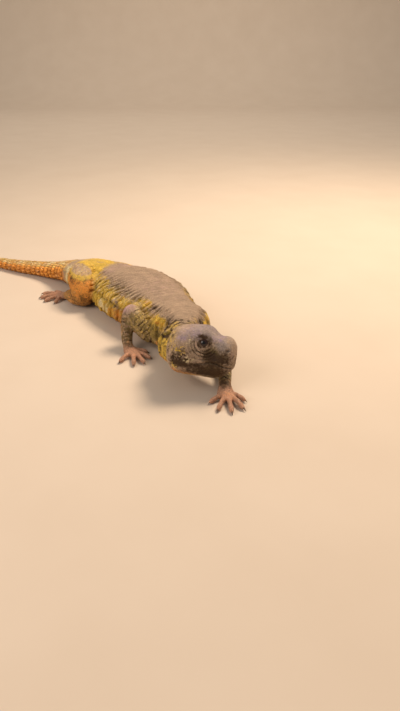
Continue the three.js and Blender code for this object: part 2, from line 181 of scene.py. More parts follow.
@dataclass
class Place(Rows):
    """Where points lie on a form: station, arc, angle round it and closeness."""

    station: np.ndarray
    arc: np.ndarray
    angle: np.ndarray
    level: np.ndarray


@dataclass
class Sweep:
    """A rounded form swept along stations of x, y, z, half width and half depth."""

    name: str
    stations: np.ndarray
    sides: int = 28
    steps: int = 24
    ends: tuple[float, ...] = (1.45, 1.2, 0.9, 0.6, 0.3)
    samples: int = 160

    @property
    def last(self) -> int:
        """The number of the last station."""
        return len(self.stations) - 1

    def frames(self, u: np.ndarray) -> tuple[np.ndarray, ...]:
        """Centre, forward, side and up at each station u.

        Args:
            u: Station numbers.

        Returns:
            Four arrays with one row a station.
        """
        ahead = catmull(self.stations, u + STEP)[:, :3]
        behind = catmull(self.stations, u - STEP)[:, :3]
        forward = unit(ahead - behind)
        side = unit(np.cross(UP, forward))
        return catmull(self.stations, u)[:, :3], forward, side, np.cross(forward, side)

    def reach(self, u: np.ndarray) -> tuple[np.ndarray, np.ndarray]:
        """Half width and half depth at each station u."""
        rows = catmull(self.stations, u)
        return rows[:, 3], rows[:, 4]

    def points(self, u: np.ndarray, angle: np.ndarray, turn: float = 0.0) -> np.ndarray:
        """Points of the surface, with turn bending a ring over the round end.

        Args:
            u: Station numbers.
            angle: Angles round the form, in radians.
            turn: How far the ring is bent over the round end, in radians.

        Returns:
            One point for each station and angle.
        """
        centre, forward, side, up = self.frames(u)
        width, depth = self.reach(u)
        across = (width * math.cos(turn) * np.cos(angle))[:, None] * side
        high = (depth * math.cos(turn) * np.sin(angle))[:, None] * up
        ahead = (np.minimum(width, depth) * math.sin(turn))[:, None] * forward
        return floored(centre + across + high + ahead)

    def rings(self) -> list[np.ndarray]:
        """Rings of points from one round end to the other.

        Returns:
            The rings, each an array of points.
        """
        angle = np.arange(self.sides) / self.sides * TAU
        first = np.zeros(self.sides)
        final = np.full(self.sides, float(self.last))
        rings = [self.points(first, angle, -turn) for turn in self.ends]
        for u in np.linspace(0, self.last, self.steps + 1):
            rings.append(self.points(np.full(self.sides, u), angle))
        rings += [self.points(final, angle, turn) for turn in reversed(self.ends)]
        return rings

    def nearest(self, points: np.ndarray) -> tuple[np.ndarray, np.ndarray]:
        """Station and arc of the centre line's nearest place to each point.

        Args:
            points: Points in millimetres.

        Returns:
            The station numbers, and the distances along the centre line.
        """
        u = np.linspace(0, self.last, self.samples)
        centre = catmull(self.stations, u)[:, :3]
        arc = np.concatenate([[0], np.cumsum(np.linalg.norm(np.diff(centre, axis=0), axis=1))])
        best = np.empty(len(points), dtype=int)
        for start in range(0, len(points), CHUNK):
            part = points[start : start + CHUNK]
            gap = (centre**2).sum(1)[None] - 2 * part @ centre.T
            best[start : start + CHUNK] = gap.argmin(1)
        low, high = np.clip(best - 1, 0, None), np.clip(best + 1, None, self.samples - 1)
        along = centre[high] - centre[low]
        share = ((points - centre[best]) * along).sum(1) / (along**2).sum(1)
        share = np.clip(share, -0.5, 0.5)
        span = high - low
        station = np.clip(u[best] + share * span * (u[1] - u[0]), 0, self.last)
        return station, np.interp(station, u, arc)

    def parts(self, points: np.ndarray) -> tuple[np.ndarray, ...]:
        """Station and arc of points, and how far aside, above and ahead they lie.

        Args:
            points: Points in millimetres.

        Returns:
            Five arrays with one number a point.
        """
        station, arc = self.nearest(points)
        centre, forward, side, up = self.frames(station)
        apart = points - centre
        return station, arc, *((apart * way).sum(1) for way in (side, up, forward))

    def locate(self, points: np.ndarray) -> Place:
        """Where points lie on this form; level is 1 on its surface, less inside.

        Args:
            points: Points in millimetres.

        Returns:
            Their places on the form.
        """
        station, arc, across, high, ahead = self.parts(points)
        width, depth = self.reach(station)
        across, high = across / width, high / depth
        ahead = ahead / np.minimum(width, depth)
        level = np.sqrt(across**2 + high**2 + ahead**2)
        return Place(station, arc, np.arctan2(high, across), level)


@dataclass
class Fold:
    """Loose skin's folds and pleats, as in the solids.

    A pleat is its place along the body, its lean forwards as it rises, its reach along
    the body and how far it stands out. The furrow above the belly runs from one place
    to another, at a rise and with a reach in radians, and is so deep.
    """

    start: float = -56
    end: float = 50
    fade: float = 14
    pitch: float = 8.6
    depth: float = 0.6
    lean: float = 0.3
    pleats: tuple[tuple[float, float, float, float], ...] = (
        (56.5, -2, 4.6, 2.4),
        (72.5, 4, 5.4, -4),
        (83, 1, 2.6, 0.8),
    )
    furrow: tuple[float, ...] = (-52, 26, -0.42, 0.17, 1.1)

    def within(self, x: np.ndarray, start: float, end: float) -> np.ndarray:
        """A weight that is 1 between start and end and fades inside them."""
        rising = ease(x, start, start + self.fade)
        return rising * (1 - ease(x, end - self.fade, end))

    def push(self, x: np.ndarray, angle: np.ndarray) -> np.ndarray:
        """How far the folds stand out at a place of the trunk.

        Args:
            x: Places along the body in millimetres.
            angle: Angles round it, in radians.

        Returns:
            Outward distances in millimetres.
        """
        rise = climb(angle)
        wave = np.sin(TAU * (x / self.pitch + self.lean * rise))
        flank = np.cos(angle) ** 2
        folds = self.depth * wave * flank * self.within(x, self.start, self.end)
        for at, lean, reach, push in self.pleats:
            folds = folds + push * flank * bump(x, at + lean * rise, reach)
        start, end, at, reach, depth = self.furrow
        return folds - depth * (bump(rise, at, reach) * self.within(x, start, end))


@dataclass
class Trunk(Sweep):
    """Tail, hips, torso and neck in one sweep: round above and flatter below."""

    round_above: float = 2.25
    round_below: float = 2.9
    fold: Fold = field(default_factory=Fold)

    def points(self, u: np.ndarray, angle: np.ndarray, turn: float = 0.0) -> np.ndarray:
        """Points of the surface, never under the floor.

        Args:
            u: Station numbers.
            angle: Angles round the form, in radians.
            turn: How far the ring is bent over the round end, in radians.

        Returns:
            One point for each station and angle.
        """
        centre, forward, side, up = self.frames(u)
        rows = catmull(self.stations, u)
        above = np.sin(angle) >= 0
        n = np.where(above, self.round_above, self.round_below)
        push = self.fold.push(rows[:, 0], angle)
        across = (rows[:, 3] + push) * math.cos(turn) * power(np.cos(angle), n)
        depth = np.where(above, rows[:, 4], rows[:, 5]) + push
        high = depth * math.cos(turn) * power(np.sin(angle), n)
        ahead = np.minimum(rows[:, 3], rows[:, 4]) * math.sin(turn)
        spot = centre + across[:, None] * side + high[:, None] * up
        return floored(spot + ahead[:, None] * forward)

    def locate(self, points: np.ndarray) -> Place:
        """Where points lie on the trunk; level is 1 on its surface, less inside.

        Args:
            points: Points in millimetres.

        Returns:
            Their places on the form.
        """
        station, arc, across, high, ahead = self.parts(points)
        rows = catmull(self.stations, station)
        above = high >= 0
        n = np.where(above, self.round_above, self.round_below)
        across = across / rows[:, 3]
        high = high / np.where(above, rows[:, 4], rows[:, 5])
        ahead = ahead / np.minimum(rows[:, 3], rows[:, 4])
        level = (np.abs(across) ** n + np.abs(high) ** n + np.abs(ahead) ** n) ** (1 / n)
        angle = np.arctan2(
            np.sign(high) * np.abs(high) ** (n / 2), np.sign(across) * np.abs(across) ** (n / 2)
        )
        return Place(station, arc, angle, level)


@dataclass
class Head:
    """The head in its own frame: +X out of the snout, +Y to its left."""

    stations: np.ndarray
    place: tuple[float, float, float] = (79.5, -40.5, 20.4)
    turn: tuple[float, float, float] = (-14, 1.5, 25.5)
    level_z: float = 1.0
    square: float = 2.35
    bumps: tuple[tuple[float, ...], ...] = (
        (21.5, 8.5, 13.5, 6.5, 4, 4, 1.5),
        (10, 12, 9, 7, 6, 6, 0.9),
        (12, 14, -6, 7, 6, 6, 1.2),
        (29, 9.5, 5, 4, 4, 5, -1.7),
        (34.5, 8, 3, 4, 4, 5, 0.8),
        (23.5, 12, 6, 5.5, 4, 5, -0.9),
        (27, 0, 13, 5, 4, 4, -0.9),
    )
    sides: int = 96
    steps: int = 89

    @property
    def axes(self) -> np.ndarray:
        """The head's axes as the columns of a turn from its frame to the body's."""
        roll, pitch, yaw = (math.radians(a) for a in self.turn)
        return np.array(Euler((roll, pitch, yaw), "XYZ").to_matrix())

    def to_body(self, local: np.ndarray) -> np.ndarray:
        """Points of the head's frame in the body's frame."""
        return local @ self.axes.T + np.array(self.place)

    def to_head(self, points: np.ndarray) -> np.ndarray:
        """Points of the body's frame in the head's frame."""
        return (points - np.array(self.place)) @ self.axes

    def push(self, x: np.ndarray, y: np.ndarray, z: np.ndarray) -> np.ndarray:
        """The head's swellings and hollows, as an outward distance.

        Args:
            x: Distances from the nape.
            y: Distances to the left.
            z: Heights.

        Returns:
            Outward distances in millimetres.
        """
        total = np.zeros(len(x))
        for ax, ay, az, rx, ry, rz, size in self.bumps:
            far = ((x - ax) / rx) ** 2 + ((np.abs(y) - ay) / ry) ** 2 + ((z - az) / rz) ** 2
            total += size * np.exp(-far)
        return total

    def points(self, u: np.ndarray, angle: np.ndarray) -> np.ndarray:
        """Points of the surface in the head's frame.

        Args:
            u: Station numbers.
            angle: Angles round the form, in radians.

        Returns:
            One point for each station and angle.
        """
        x, width, top, under = catmull(self.stations, u).T
        across = width * power(np.cos(angle), self.square)
        reach = np.where(np.sin(angle) >= 0, top - self.level_z, self.level_z - under)
        high = reach * power(np.sin(angle), self.square)
        size = np.hypot(across, high)
        scale = (size + self.push(x, across, self.level_z + high)) / size
        return np.stack([x, across * scale, self.level_z + high * scale], axis=1)

    def rings(self) -> list[np.ndarray]:
        """Rings of points from the nape to the snout, in the body's frame.

        Returns:
            The rings, each an array of points.
        """
        angle = np.arange(self.sides) / self.sides * TAU
        rings = []
        for u in np.linspace(0, len(self.stations) - 1, self.steps + 1):
            rings.append(self.to_body(self.points(np.full(self.sides, u), angle)))
        return rings

    def locate(self, points: np.ndarray) -> Place:
        """Where points lie on the head; level is 1 on its surface, less inside.

        Args:
            points: Points in millimetres.

        Returns:
            Their places on the form.
        """
        x, y, z = self.to_head(points).T
        xs = self.stations[:, 0]
        u = np.interp(x, xs, np.arange(len(xs)))
        _, width, top, under = catmull(self.stations, u).T
        above = z >= self.level_z
        reach = np.where(above, top - self.level_z, self.level_z - under)
        across, high = y / width, (z - self.level_z) / reach
        n = self.square
        level = (np.abs(across) ** n + np.abs(high) ** n) ** (1 / n)
        size = np.hypot(y, z - self.level_z) / np.maximum(level, 1e-6)
        level = level * size / (size + self.push(x, y, z))
        outside = np.maximum(xs[0] - x, 0) + np.maximum(x - xs[-1], 0)
        angle = np.arctan2(high, across)
        return Place(u, x, angle, level + outside / 6)


def floored(points: np.ndarray) -> np.ndarray:
    """Points with none under the floor."""
    points[:, 2] = np.maximum(points[:, 2], 0)
    return points


@dataclass
class Digit:
    """One toe or finger: root, heading in degrees, length with the claw, half width."""

    x: float
    y: float
    heading: float
    length: float
    radius: float
    shape: tuple[tuple[float, float, float], ...] = (
        (-0.2, 2.2, 0.92),
        (0.05, 2.3, 0.98),
        (0.3, 2.5, 0.92),
        (0.45, 2.25, 0.9),
        (0.56, 2.0, 1.04),
        (0.68, 1.7, 0.9),
        (0.77, 1.5, 0.74),
    )

    @property
    def along(self) -> np.ndarray:
        """The way the digit points."""
        turn = math.radians(self.heading)
        return np.array([math.cos(turn), math.sin(turn), 0.0])

    def at(self, share: float, height: float) -> np.ndarray:
        """A point of the middle line at a share of the length."""
        return np.array([self.x, self.y, height]) + self.along * share * self.length

    def sweep(self, name: str) -> Sweep:
        """The fleshy part of the digit, without its claw.

        Args:
            name: The form's name.

        Returns:
            The form, from the palm to the root of the claw.
        """
        rows = []
        for share, height, scale in self.shape:
            size = self.radius * scale
            rows.append([*self.at(share, height), size, 1.1 * size])
        return Sweep(name, np.array(rows), sides=14, steps=18, ends=(1.3, 0.8), samples=40)


@dataclass
class Limb:
    """One limb from the trunk outwards."""

    name: str
    upper: Sweep
    lower: Sweep
    paw: Sweep
    digits: list[Digit]
    side: int
    hind: bool

    def sweeps(self) -> list[Sweep]:
        """Every rounded piece of the limb."""
        toes = [digit.sweep(f"{self.name}_{k}") for k, digit in enumerate(self.digits)]
        return [self.upper, self.lower, self.paw, *toes]

    def strip(self, order: int) -> float:
        """Where a piece's strip of the limbs' atlas starts."""
        return (order + STRIPS // 2 * (self.side > 0)) / STRIPS


SPINE = np.array(
    [
        [-205.2, -28.2, 2.8, 1.4, 1.3, 2.8],
        [-195.2, -27.6, 3.2, 3.3, 2.5, 3.2],
        [-179.2, -25.2, 3.9, 4.6, 3.3, 3.9],
        [-161.6, -20.4, 4.6, 5.8, 3.9, 4.6],
        [-144.6, -14, 5.3, 6.8, 4.5, 5.2],
        [-130, -8, 6.2, 7.7, 5, 5.8],
        [-118.4, -4, 7.2, 8.8, 5.6, 6.5],
        [-107.4, -1.2, 9, 10, 6.4, 7.4],
        [-96, 0.7, 11, 11.8, 7.6, 8.4],
        [-84, 1.4, 12.3, 14.6, 9.8, 9.6],
        [-72, 2.5, 12.5, 18.5, 13, 11.5],
        [-60, 4, 12.5, 20, 14.5, 12.8],
        [-48, 6, 12, 22, 15, 12.8],
        [-36, 7.3, 11.5, 26.5, 15.5, 12.5],
        [-22, 7.3, 11.5, 30.3, 17, 12.5],
        [-8, 5.8, 11.5, 31.3, 17.5, 12.5],
        [6, 3, 11.5, 29.8, 17.5, 12.5],
        [20, -0.8, 12, 26.7, 17, 12.6],
        [33, -4.6, 12.5, 23.2, 16, 12.8],
        [44, -7.8, 13, 20.4, 15.5, 12.6],
        [54, -10.8, 14.5, 18.2, 14.5, 13.2],
        [62, -15, 16.5, 15.6, 13.6, 12.2],
        [68.5, -20.2, 18, 13.6, 12.8, 10.8],
        [74, -25.4, 19, 13.6, 12.4, 10.6],
        [79, -30.8, 19.8, 14.6, 12.6, 12.4],
        [84.5, -35, 20.2, 12.2, 10.8, 10.8],
    ]
)

HEAD = np.array(
    [
        [0.5, 6, 7, -5.4],
        [2, 9.6, 10.4, -8.6],
        [4.5, 13.2, 12.8, -11.4],
        [8.5, 16, 14, -12.8],
        [13, 16.2, 14.6, -13],
        [18, 14.8, 15, -13],
        [22.5, 13, 14.7, -12.8],
        [26.5, 11.2, 13, -13],
        [30, 9.8, 11.8, -12.6],
        [33.5, 9, 12, -11.2],
        [36.5, 7.8, 11, -8.6],
        [38.6, 5.6, 8.6, -6.4],
        [39.6, 2.8, 5.2, -3.6],
    ]
)

# Limb stations: x, y, z, half width and half depth, from the body outwards.
LIMB_STATIONS = {
    "upper_arm_right": [
        [47, -18, 8.5, 6, 6.4], [42.5, -26, 11, 6.2, 6.6], [36.5, -29.2, 17, 6, 6.3],
        [30, -30.8, 22.4, 5.5, 5.7],
    ],
    "forearm_right": [
        [28.5, -31.5, 20.8, 4.6, 5], [30, -35, 14, 4.1, 4.4], [34, -38.5, 8.5, 3.5, 3.6],
        [37, -40.5, 5, 3.2, 3.1],
    ],
    "hand_right": [
        [37.5, -40.8, 4.4, 3.4, 2.8], [41, -41.5, 2.9, 4.6, 2.4], [44.5, -42, 2.4, 5, 1.9],
    ],
    "upper_arm_left": [
        [58, -8, 12, 6, 6.2], [66, -2.5, 11.5, 6, 6.2], [76, -3.5, 10, 5.4, 5.6],
        [86, -9, 8.8, 5, 5],
    ],
    "forearm_left": [
        [88.5, -8.5, 8.2, 4.6, 4.6], [97, -13.5, 6.4, 4.3, 4.2], [105, -20.5, 4.9, 3.8, 3.6],
        [113.5, -29.2, 4.4, 3.4, 3.2],
    ],
    "hand_left": [
        [114, -29.7, 4.2, 3.5, 2.8], [117.2, -32.6, 3, 4.6, 2.4], [119.8, -35, 2.4, 5, 1.9],
    ],
    "thigh_right": [
        [-70, 1, 16, 10, 9.5], [-63, -6, 16, 12.6, 12], [-53, -12.5, 15, 12.6, 12.6],
        [-45, -18, 12, 10.4, 10.4],
    ],
    "shank_right": [
        [-44.5, -21, 9, 7.2, 7.6], [-52, -23, 7, 6, 6], [-59, -22, 5.2, 4.8, 4.8],
        [-64, -21, 4.6, 4.2, 4],
    ],
    "foot_right": [
        [-64.5, -21, 4.2, 4, 3.4], [-69, -22.5, 2.9, 4.8, 2.5], [-73, -24.5, 2.4, 5.2, 2],
    ],
    "thigh_left": [
        [-72, 6, 13, 9.5, 9], [-66, 13, 12.5, 11.5, 10.5], [-58, 22, 11.5, 11, 10.5],
        [-51, 30, 10, 9.5, 9],
    ],
    "shank_left": [
        [-50.5, 33, 8.5, 7, 7], [-57, 35.5, 7, 6, 6], [-65, 35.5, 5.2, 4.8, 4.8],
        [-71, 35, 4.6, 4.2, 4],
    ],
    "foot_left": [
        [-71.5, 35, 4.2, 4, 3.4], [-76, 37, 2.9, 4.8, 2.5], [-80, 39.5, 2.4, 5.2, 2],
    ],
}

# Digits: x and y of the root, heading in degrees, length with the claw, half width.
DIGITS = {
    "hand_right": [
        [42, -37.5, 38, 9, 1.35], [46, -38.8, 14, 11.5, 1.4], [47.8, -41.2, -12, 12.5, 1.4],
        [47.4, -44, -36, 12, 1.4], [43.5, -46, -72, 10, 1.35],
    ],
    "hand_left": [
        [120.4, -30.6, 8, 11, 1.35], [123, -33.2, -13, 14.5, 1.4], [123.4, -36.2, -37, 14, 1.4],
        [121.4, -38.4, -63, 12, 1.4], [117.8, -37.6, -93, 9, 1.35],
    ],
    "foot_right": [
        [-68.5, -27.5, -62, 9, 1.45], [-73, -29, -92, 11, 1.5], [-76.4, -27.8, -118, 13, 1.55],
        [-77.8, -24.8, -146, 14.5, 1.55], [-75, -21.2, -172, 11.5, 1.45],
    ],
    "foot_left": [
        [-77, 43, 74, 9, 1.45], [-81.6, 43.6, 104, 11.5, 1.5], [-84, 41.4, 130, 14, 1.55],
        [-84.4, 38.2, 154, 15.5, 1.55], [-81.4, 35, 182, 12, 1.45],
    ],
}

# Umber is the dark brown of the markings and is also used for painted shade in creases, hollows and
# under the limbs; gold, cream, lilac and mauve carry a few patches of painted light.
MARKS = ("slate", "lilac", "mauve", "flesh", "gold", "rust", "cream", "olive", "umber")

# Patches of each marking on the trunk: place along it in millimetres and rise up its
# side in radians, the reach in both, and strength; a negative one thins it out.
TRUNK_PATCHES = {
    "mauve": [
        (-38, 1.3, 8, 0.35, 0.5), (6.5, 0.72, 4, 0.12, 0.6), (-22, 0.5, 3, 0.12, 0.4),
        (52, 0.4, 2.4, 0.3, 0.8), (57, 0.6, 3, 0.14, 0.5), (20, 1.45, 40, 0.4, 0.3),
    ],
    "gold": [
        (-63, 1.35, 13, 0.5, 0.9), (-50, 1.45, 5, 0.3, 0.5), (-51, 1.0, 6, 0.4, 0.9),
        (-40, 0.85, 7, 0.25, 0.6), (-30, 0.78, 6, 0.22, 0.7), (-19, 0.68, 6, 0.2, 0.6),
        (-5, 0.7, 5, 0.12, 0.5), (-3, 0.46, 5, 0.16, 0.9), (-14, 0.42, 6, 0.14, 0.8),
        (7, 0.42, 4, 0.14, -0.5), (-22, 0.5, 3, 0.12, -0.5), (16, 0.55, 6, 0.2, 0.6),
        (27, 0.9, 6, 0.2, 0.5), (35, 0.95, 5, 0.2, 0.8), (-22, 0.0, 6, 0.3, 0.8),
        # The wide faint patch at -8, 0.0 is partly the belly roll's own yellow and partly painted
        # light on the lower flank.
        (-2, 0.03, 8, 0.28, 0.7), (-8, 0.0, 28, 0.4, 0.35), (56.5, 0.2, 3, 0.4, 0.6),
        (62, 0.42, 3.8, 0.17, 1.0), (79, 1.2, 4, 0.25, 0.9), (84, 0.6, 4, 1.2, 0.9),
    ],
    "rust": [
        (35, 0.95, 4, 0.15, 0.4), (3, -0.02, 5, 0.25, 0.5), (11, 0.0, 5, 0.3, 0.5),
        (18, 0.0, 6, 0.35, 0.6), (62, 0.3, 3.6, 0.1, 0.6),
    ],
    "cream": [
        # The small patch at -12 is a painted highlight, the glint on the belly roll; the wide faint
        # one at -6 is partly the roll's own pale colour and partly painted light on the lower
        # flank.
        (-12, 0.06, 3.4, 0.16, 0.9), (-4, 0.05, 5, 0.2, 0.6), (-6, 0.0, 26, 0.35, 0.2),
        (-79.5, 0.1, 2.6, 0.7, 0.8),
    ],
    "olive": [
        (-3, 0.92, 5, 0.12, 0.6), (26, 0.86, 5, 0.14, 0.5), (30, 0.4, 9, 0.3, 0.4),
        (54, 0.1, 5, 0.4, 0.5), (61, -0.05, 6, 0.3, 0.6), (70, 0.9, 6, 0.4, 0.35),
    ],
    "umber": [
        # The patch at -30, 0.42 is painted shadow in the groin, the thin line at 3, 0.3 is painted
        # shade in the crease above the belly roll, and the patch at 71.5 is painted shade in the
        # deep pleat of the neck.
        (42, 0.9, 4, 0.15, 0.5), (79, 1.2, 7, 0.7, 0.3), (-30, 0.42, 3.5, 0.14, 0.7),
        (3, 0.3, 16, 0.045, 0.55), (71.5, 0.5, 4, 0.45, 0.8), (19, -0.05, 4, 0.2, 0.3),
    ],
}

# Patches of the head: place from the nape and height in millimetres, reach in both, and
# strength, the same on both sides.
HEAD_PATCHES = {
    "slate": [
        (22, 14, 15, 6.5, 1.0), (33, 8, 3, 2.6, 0.8), (37, 5, 3, 4, 0.5),
    ],
    "lilac": [
        # The patch at 31, 10.6 on top of the snout is partly the head's lilac and partly a painted
        # highlight.
        (18, 13, 12, 4.5, 0.4), (12, 9.4, 2.6, 1.8, 0.5), (31, 10.6, 3.4, 1.8, 0.5),
    ],
    "mauve": [
        # The patch at 38.8 on the front of the snout is partly pinkish skin and partly painted
        # light on its lit front.
        (12, 14, 7, 3, 0.3), (38.8, 2, 1.6, 5, 0.3), (31, -4, 4, 0.9, 0.3),
    ],
    "gold": [
        (11.8, 3.5, 1.4, 2, 0.4), (9.5, -5.5, 2.6, 2.2, 0.8), (5, 8, 3.6, 5, 0.6),
        (18, -12, 11, 1.4, 0.5),
    ],
    "rust": [
        (17, -10.4, 8, 1.7, 0.5), (9, -9.4, 4, 2.2, 0.5),
    ],
    "cream": [
        (16.5, 9.5, 0.9, 0.8, 0.4), (16, 7.6, 1.8, 0.7, 0.35), (18, 8.5, 0.8, 0.7, 0.35),
        (19.2, 6.2, 0.9, 1.8, 0.2), (18, -14, 15, 1.6, 0.5),
    ],
    "olive": [
        (27.8, 3, 3.8, 4.4, 0.7), (32, 1, 5, 4, 0.8), (30, -8, 7, 4.5, 0.9),
        (10, 2, 4, 4, 0.35), (20, -8, 9, 2.4, 0.4),
    ],
    "umber": [
        # The two patches over the eye are painted shadow of the brow, the one just in front of the
        # eye is painted shadow of the lids, and the one at 27.8, 2.0 below and before the eye is
        # partly the lores' own dark colour and partly painted shade.
        (21.8, 11.8, 1.3, 0.8, 0.65), (23.4, 11, 1.5, 0.8, 0.65), (26.4, 8.6, 1.1, 1.8, 0.4),
        (27.8, 2.0, 3.2, 3.8, 0.7), (31.5, -0.5, 6, 3, 0.5), (35, 3.5, 3.6, 5, 0.5),
        (11.5, -3, 3.8, 2.4, 0.75), (10, -4, 1.6, 1.6, 0.4), (19, -4.4, 6.5, 2.0, 0.6),
        (28, -8, 9, 3.6, 0.7), (33, -6, 4, 3.4, 0.35), (18, -9, 9, 2, 0.25),
    ],
}

# Patches of the arms: place in millimetres on the body, reach, and strength.
ARM_PATCHES = {
    "slate": [(37, -40.5, 4.5, 5, 4, 4, 0.5), (116, -32, 6, 4, 4, 3, 0.3)],
    "lilac": [(28.5, -33, 26, 4, 4, 4, 0.8)],
    "mauve": [(30, -32, 26, 5, 5, 4, 0.8), (33, -42, 12, 4, 3, 7, 0.5)],
    "gold": [
        (29, -33, 26, 5, 5, 4, -0.7), (41, -30, 20, 7, 5, 6, 0.25), (107, -27, 7, 3, 5, 4, 0.6),
    ],
    "cream": [(37.5, -29, 26.5, 5, 3, 2.6, 0.5), (108, -26, 8.4, 5, 5, 1.4, 0.6)],
    "rust": [(121, -35, 2, 8, 8, 4, 0.3), (46, -43, 2, 8, 7, 4, 0.25)],
    "olive": [(29, -33, 26, 5, 5, 4, -0.8), (37.5, -29, 26.5, 5, 3, 2.6, -0.4)],
    "umber": [
        # The patch at 33, -37 is partly the right forearm's own dark olive and partly painted shade
        # on it; the one at 46, -22 is painted shade under the root of the right arm.
        (29, -33, 26, 5, 5, 4, -0.6), (33, -37, 14, 5, 3.5, 5, 0.4),
        (38, -40, 5.4, 3, 3, 2, 0.4), (114, -31, 6, 5, 4, 5, 0.6), (46, -22, 8, 7, 6, 8, 0.4),
    ],
}


class Region(Enum):
    """Parts of the coat that are built as pieces of their own."""

    HEAD = "head"
    NECK = "neck"
    BACK = "back"
    BELLY = "belly"
    TAIL = "tail"
    ARMS = "arms"
    LEGS = "legs"


@dataclass
class Survey(Rows):
    """What the animal says about points of its surface."""

    marks: np.ndarray
    spacing: np.ndarray
    height: np.ndarray
    lay: np.ndarray
    atlas: np.ndarray
    region: np.ndarray


@dataclass
class Part:
    """The points of a survey that one form has a share in.

    Near are their numbers, and own says which of them the form owns.
    """

    near: np.ndarray
    spots: np.ndarray
    place: Place
    share: np.ndarray
    own: np.ndarray


def side_rise(angle: np.ndarray) -> np.ndarray:
    """How far up the body's side a place lies, in radians from its middle.

    The skin of the left side is tight and plain further down than that of the right,
    so the upper part of the left side counts as higher.

    Args:
        angle: The place's angle round the body, 0 at the left.

    Returns:
        The rise, up to a quarter turn on the ridge of the back.
    """
    rise = climb(angle)
    left = ease(np.cos(angle), 0.1, 0.5)
    return rise + 0.28 * left * ease(rise, 0.1, 0.5)


@dataclass
class Wrinkles:
    """Creases of the loose skin: deep ones, and finer ones between them.

    The pitches run along the body. A crease leans forwards as it rises, by so many
    millimetres for each, more at the hips than at the shoulders. The depths are those
    on the flank; the back is tighter.
    """

    pitch: float = 5.0
    depth: float = 1.75
    fine_pitch: float = 2.3
    fine_depth: float = 0.4
    lean: tuple[float, float] = (0.5, 0.12)

    def loose(self, x: np.ndarray, rise: np.ndarray) -> np.ndarray:
        """How loose the skin is, from where it lies along the trunk and up its side."""
        up = 0.1 + 0.9 * ease(rise, 1.34 - 0.12 * ease(x, -20, 30), 0.88)
        return up * ease(x, -84, -62) * ease(rise, -0.9, -0.45)

    def creases(self, place: Place, size: np.ndarray) -> tuple[np.ndarray, np.ndarray]:
        """Creases that run round the trunk.

        Args:
            place: Where points lie on the trunk.
            size: The trunk's half width there.

        Returns:
            The deep and the fine creases, each 1 in the middle of one and 0 between.
        """
        up = climb(place.angle) * size
        across = 1.3 * np.cos(place.angle)
        lean = self.lean[0] + (self.lean[1] - self.lean[0]) * ease(place.arc, 170, 245)
        along = place.arc - lean * up
        slow = noise(np.stack([along / 15, up / 14, across], axis=1), 21)
        quick = noise(np.stack([along / 3.4, up / 5, across], axis=1), 22)
        phase = along / self.pitch + 0.6 * slow + 0.13 * quick
        held = ease(noise(np.stack([along / 5, up / 14, across], axis=1), 23), -1.0, -0.25)
        deep = (0.5 + 0.5 * np.cos(TAU * phase)) ** 2.4 * held
        phase = along / self.fine_pitch + 0.9 * slow + 0.3 * quick
        line = (0.5 + 0.5 * np.cos(TAU * phase)) ** 2
        crack = noise(np.stack([along / 3, up / 3.6, across], axis=1), 24)
        fine = np.maximum(0.8 * line, np.exp(-((crack / 0.2) ** 2)))
        return deep, fine


@dataclass
class Eye:
    """One eyeball, where it looks, the slit between its lids and the folds round it.

    The lids are so thick at their rim, and the skin in the slit lies sunk behind the
    eyeball's front.
    """

    centre: tuple[float, float, float] = (23, 8, 8)
    radius: float = 2.9
    look: tuple[float, float, float] = (0.22, 0.93, 0.24)
    opening: tuple[float, float] = (2.2, 2.1)
    lid: float = 0.42
    sunk: float = 0.6
    fold_start: float = 3.7
    fold_pitch: float = 1.6
    fold_height: float = 0.34

    def frame(self, side: int) -> tuple[np.ndarray, ...]:
        """Centre, look, along and across of the eye on one side of the head.

        Args:
            side: -1 for the right side and 1 for the left.

        Returns:
            A point and three unit vectors, in the head's frame.
        """
        mirror = np.array([1, side, 1])
        look = unit(np.array(self.look) * mirror)
        along = unit(np.array([1.0, 0, 0]) - look[0] * look)
        return np.array(self.centre) * mirror, look, along, np.cross(look, along)

    def spread(self, apart: np.ndarray, along: np.ndarray, across: np.ndarray) -> np.ndarray:
        """How far points lie from the middle of the slit, as a share of its half size."""
        return np.hypot((apart @ along) / self.opening[0], (apart @ across) / self.opening[1])

    def folds(self, local: np.ndarray) -> np.ndarray:
        """Folds in rings behind and below the eye, from -1 in a crease to 1.

        Args:
            local: Points in the head's frame.

        Returns:
            One height a point.
        """
        mirrored = np.stack([local[:, 0], np.abs(local[:, 1]), local[:, 2]], axis=1)
        apart = mirrored - np.array(self.centre)
        far = np.linalg.norm(apart, axis=1)
        below = ease(-apart[:, 2] - 0.4 * apart[:, 0], -1.6, 3.2)
        waved = far - self.fold_start + 0.5 * noise(local / 2.6, 25)
        ring = np.sin(TAU * waved / self.fold_pitch)
        return ring * below * ease(far, 3.9, 4.7) * ease(far, 11.5, 7.0)


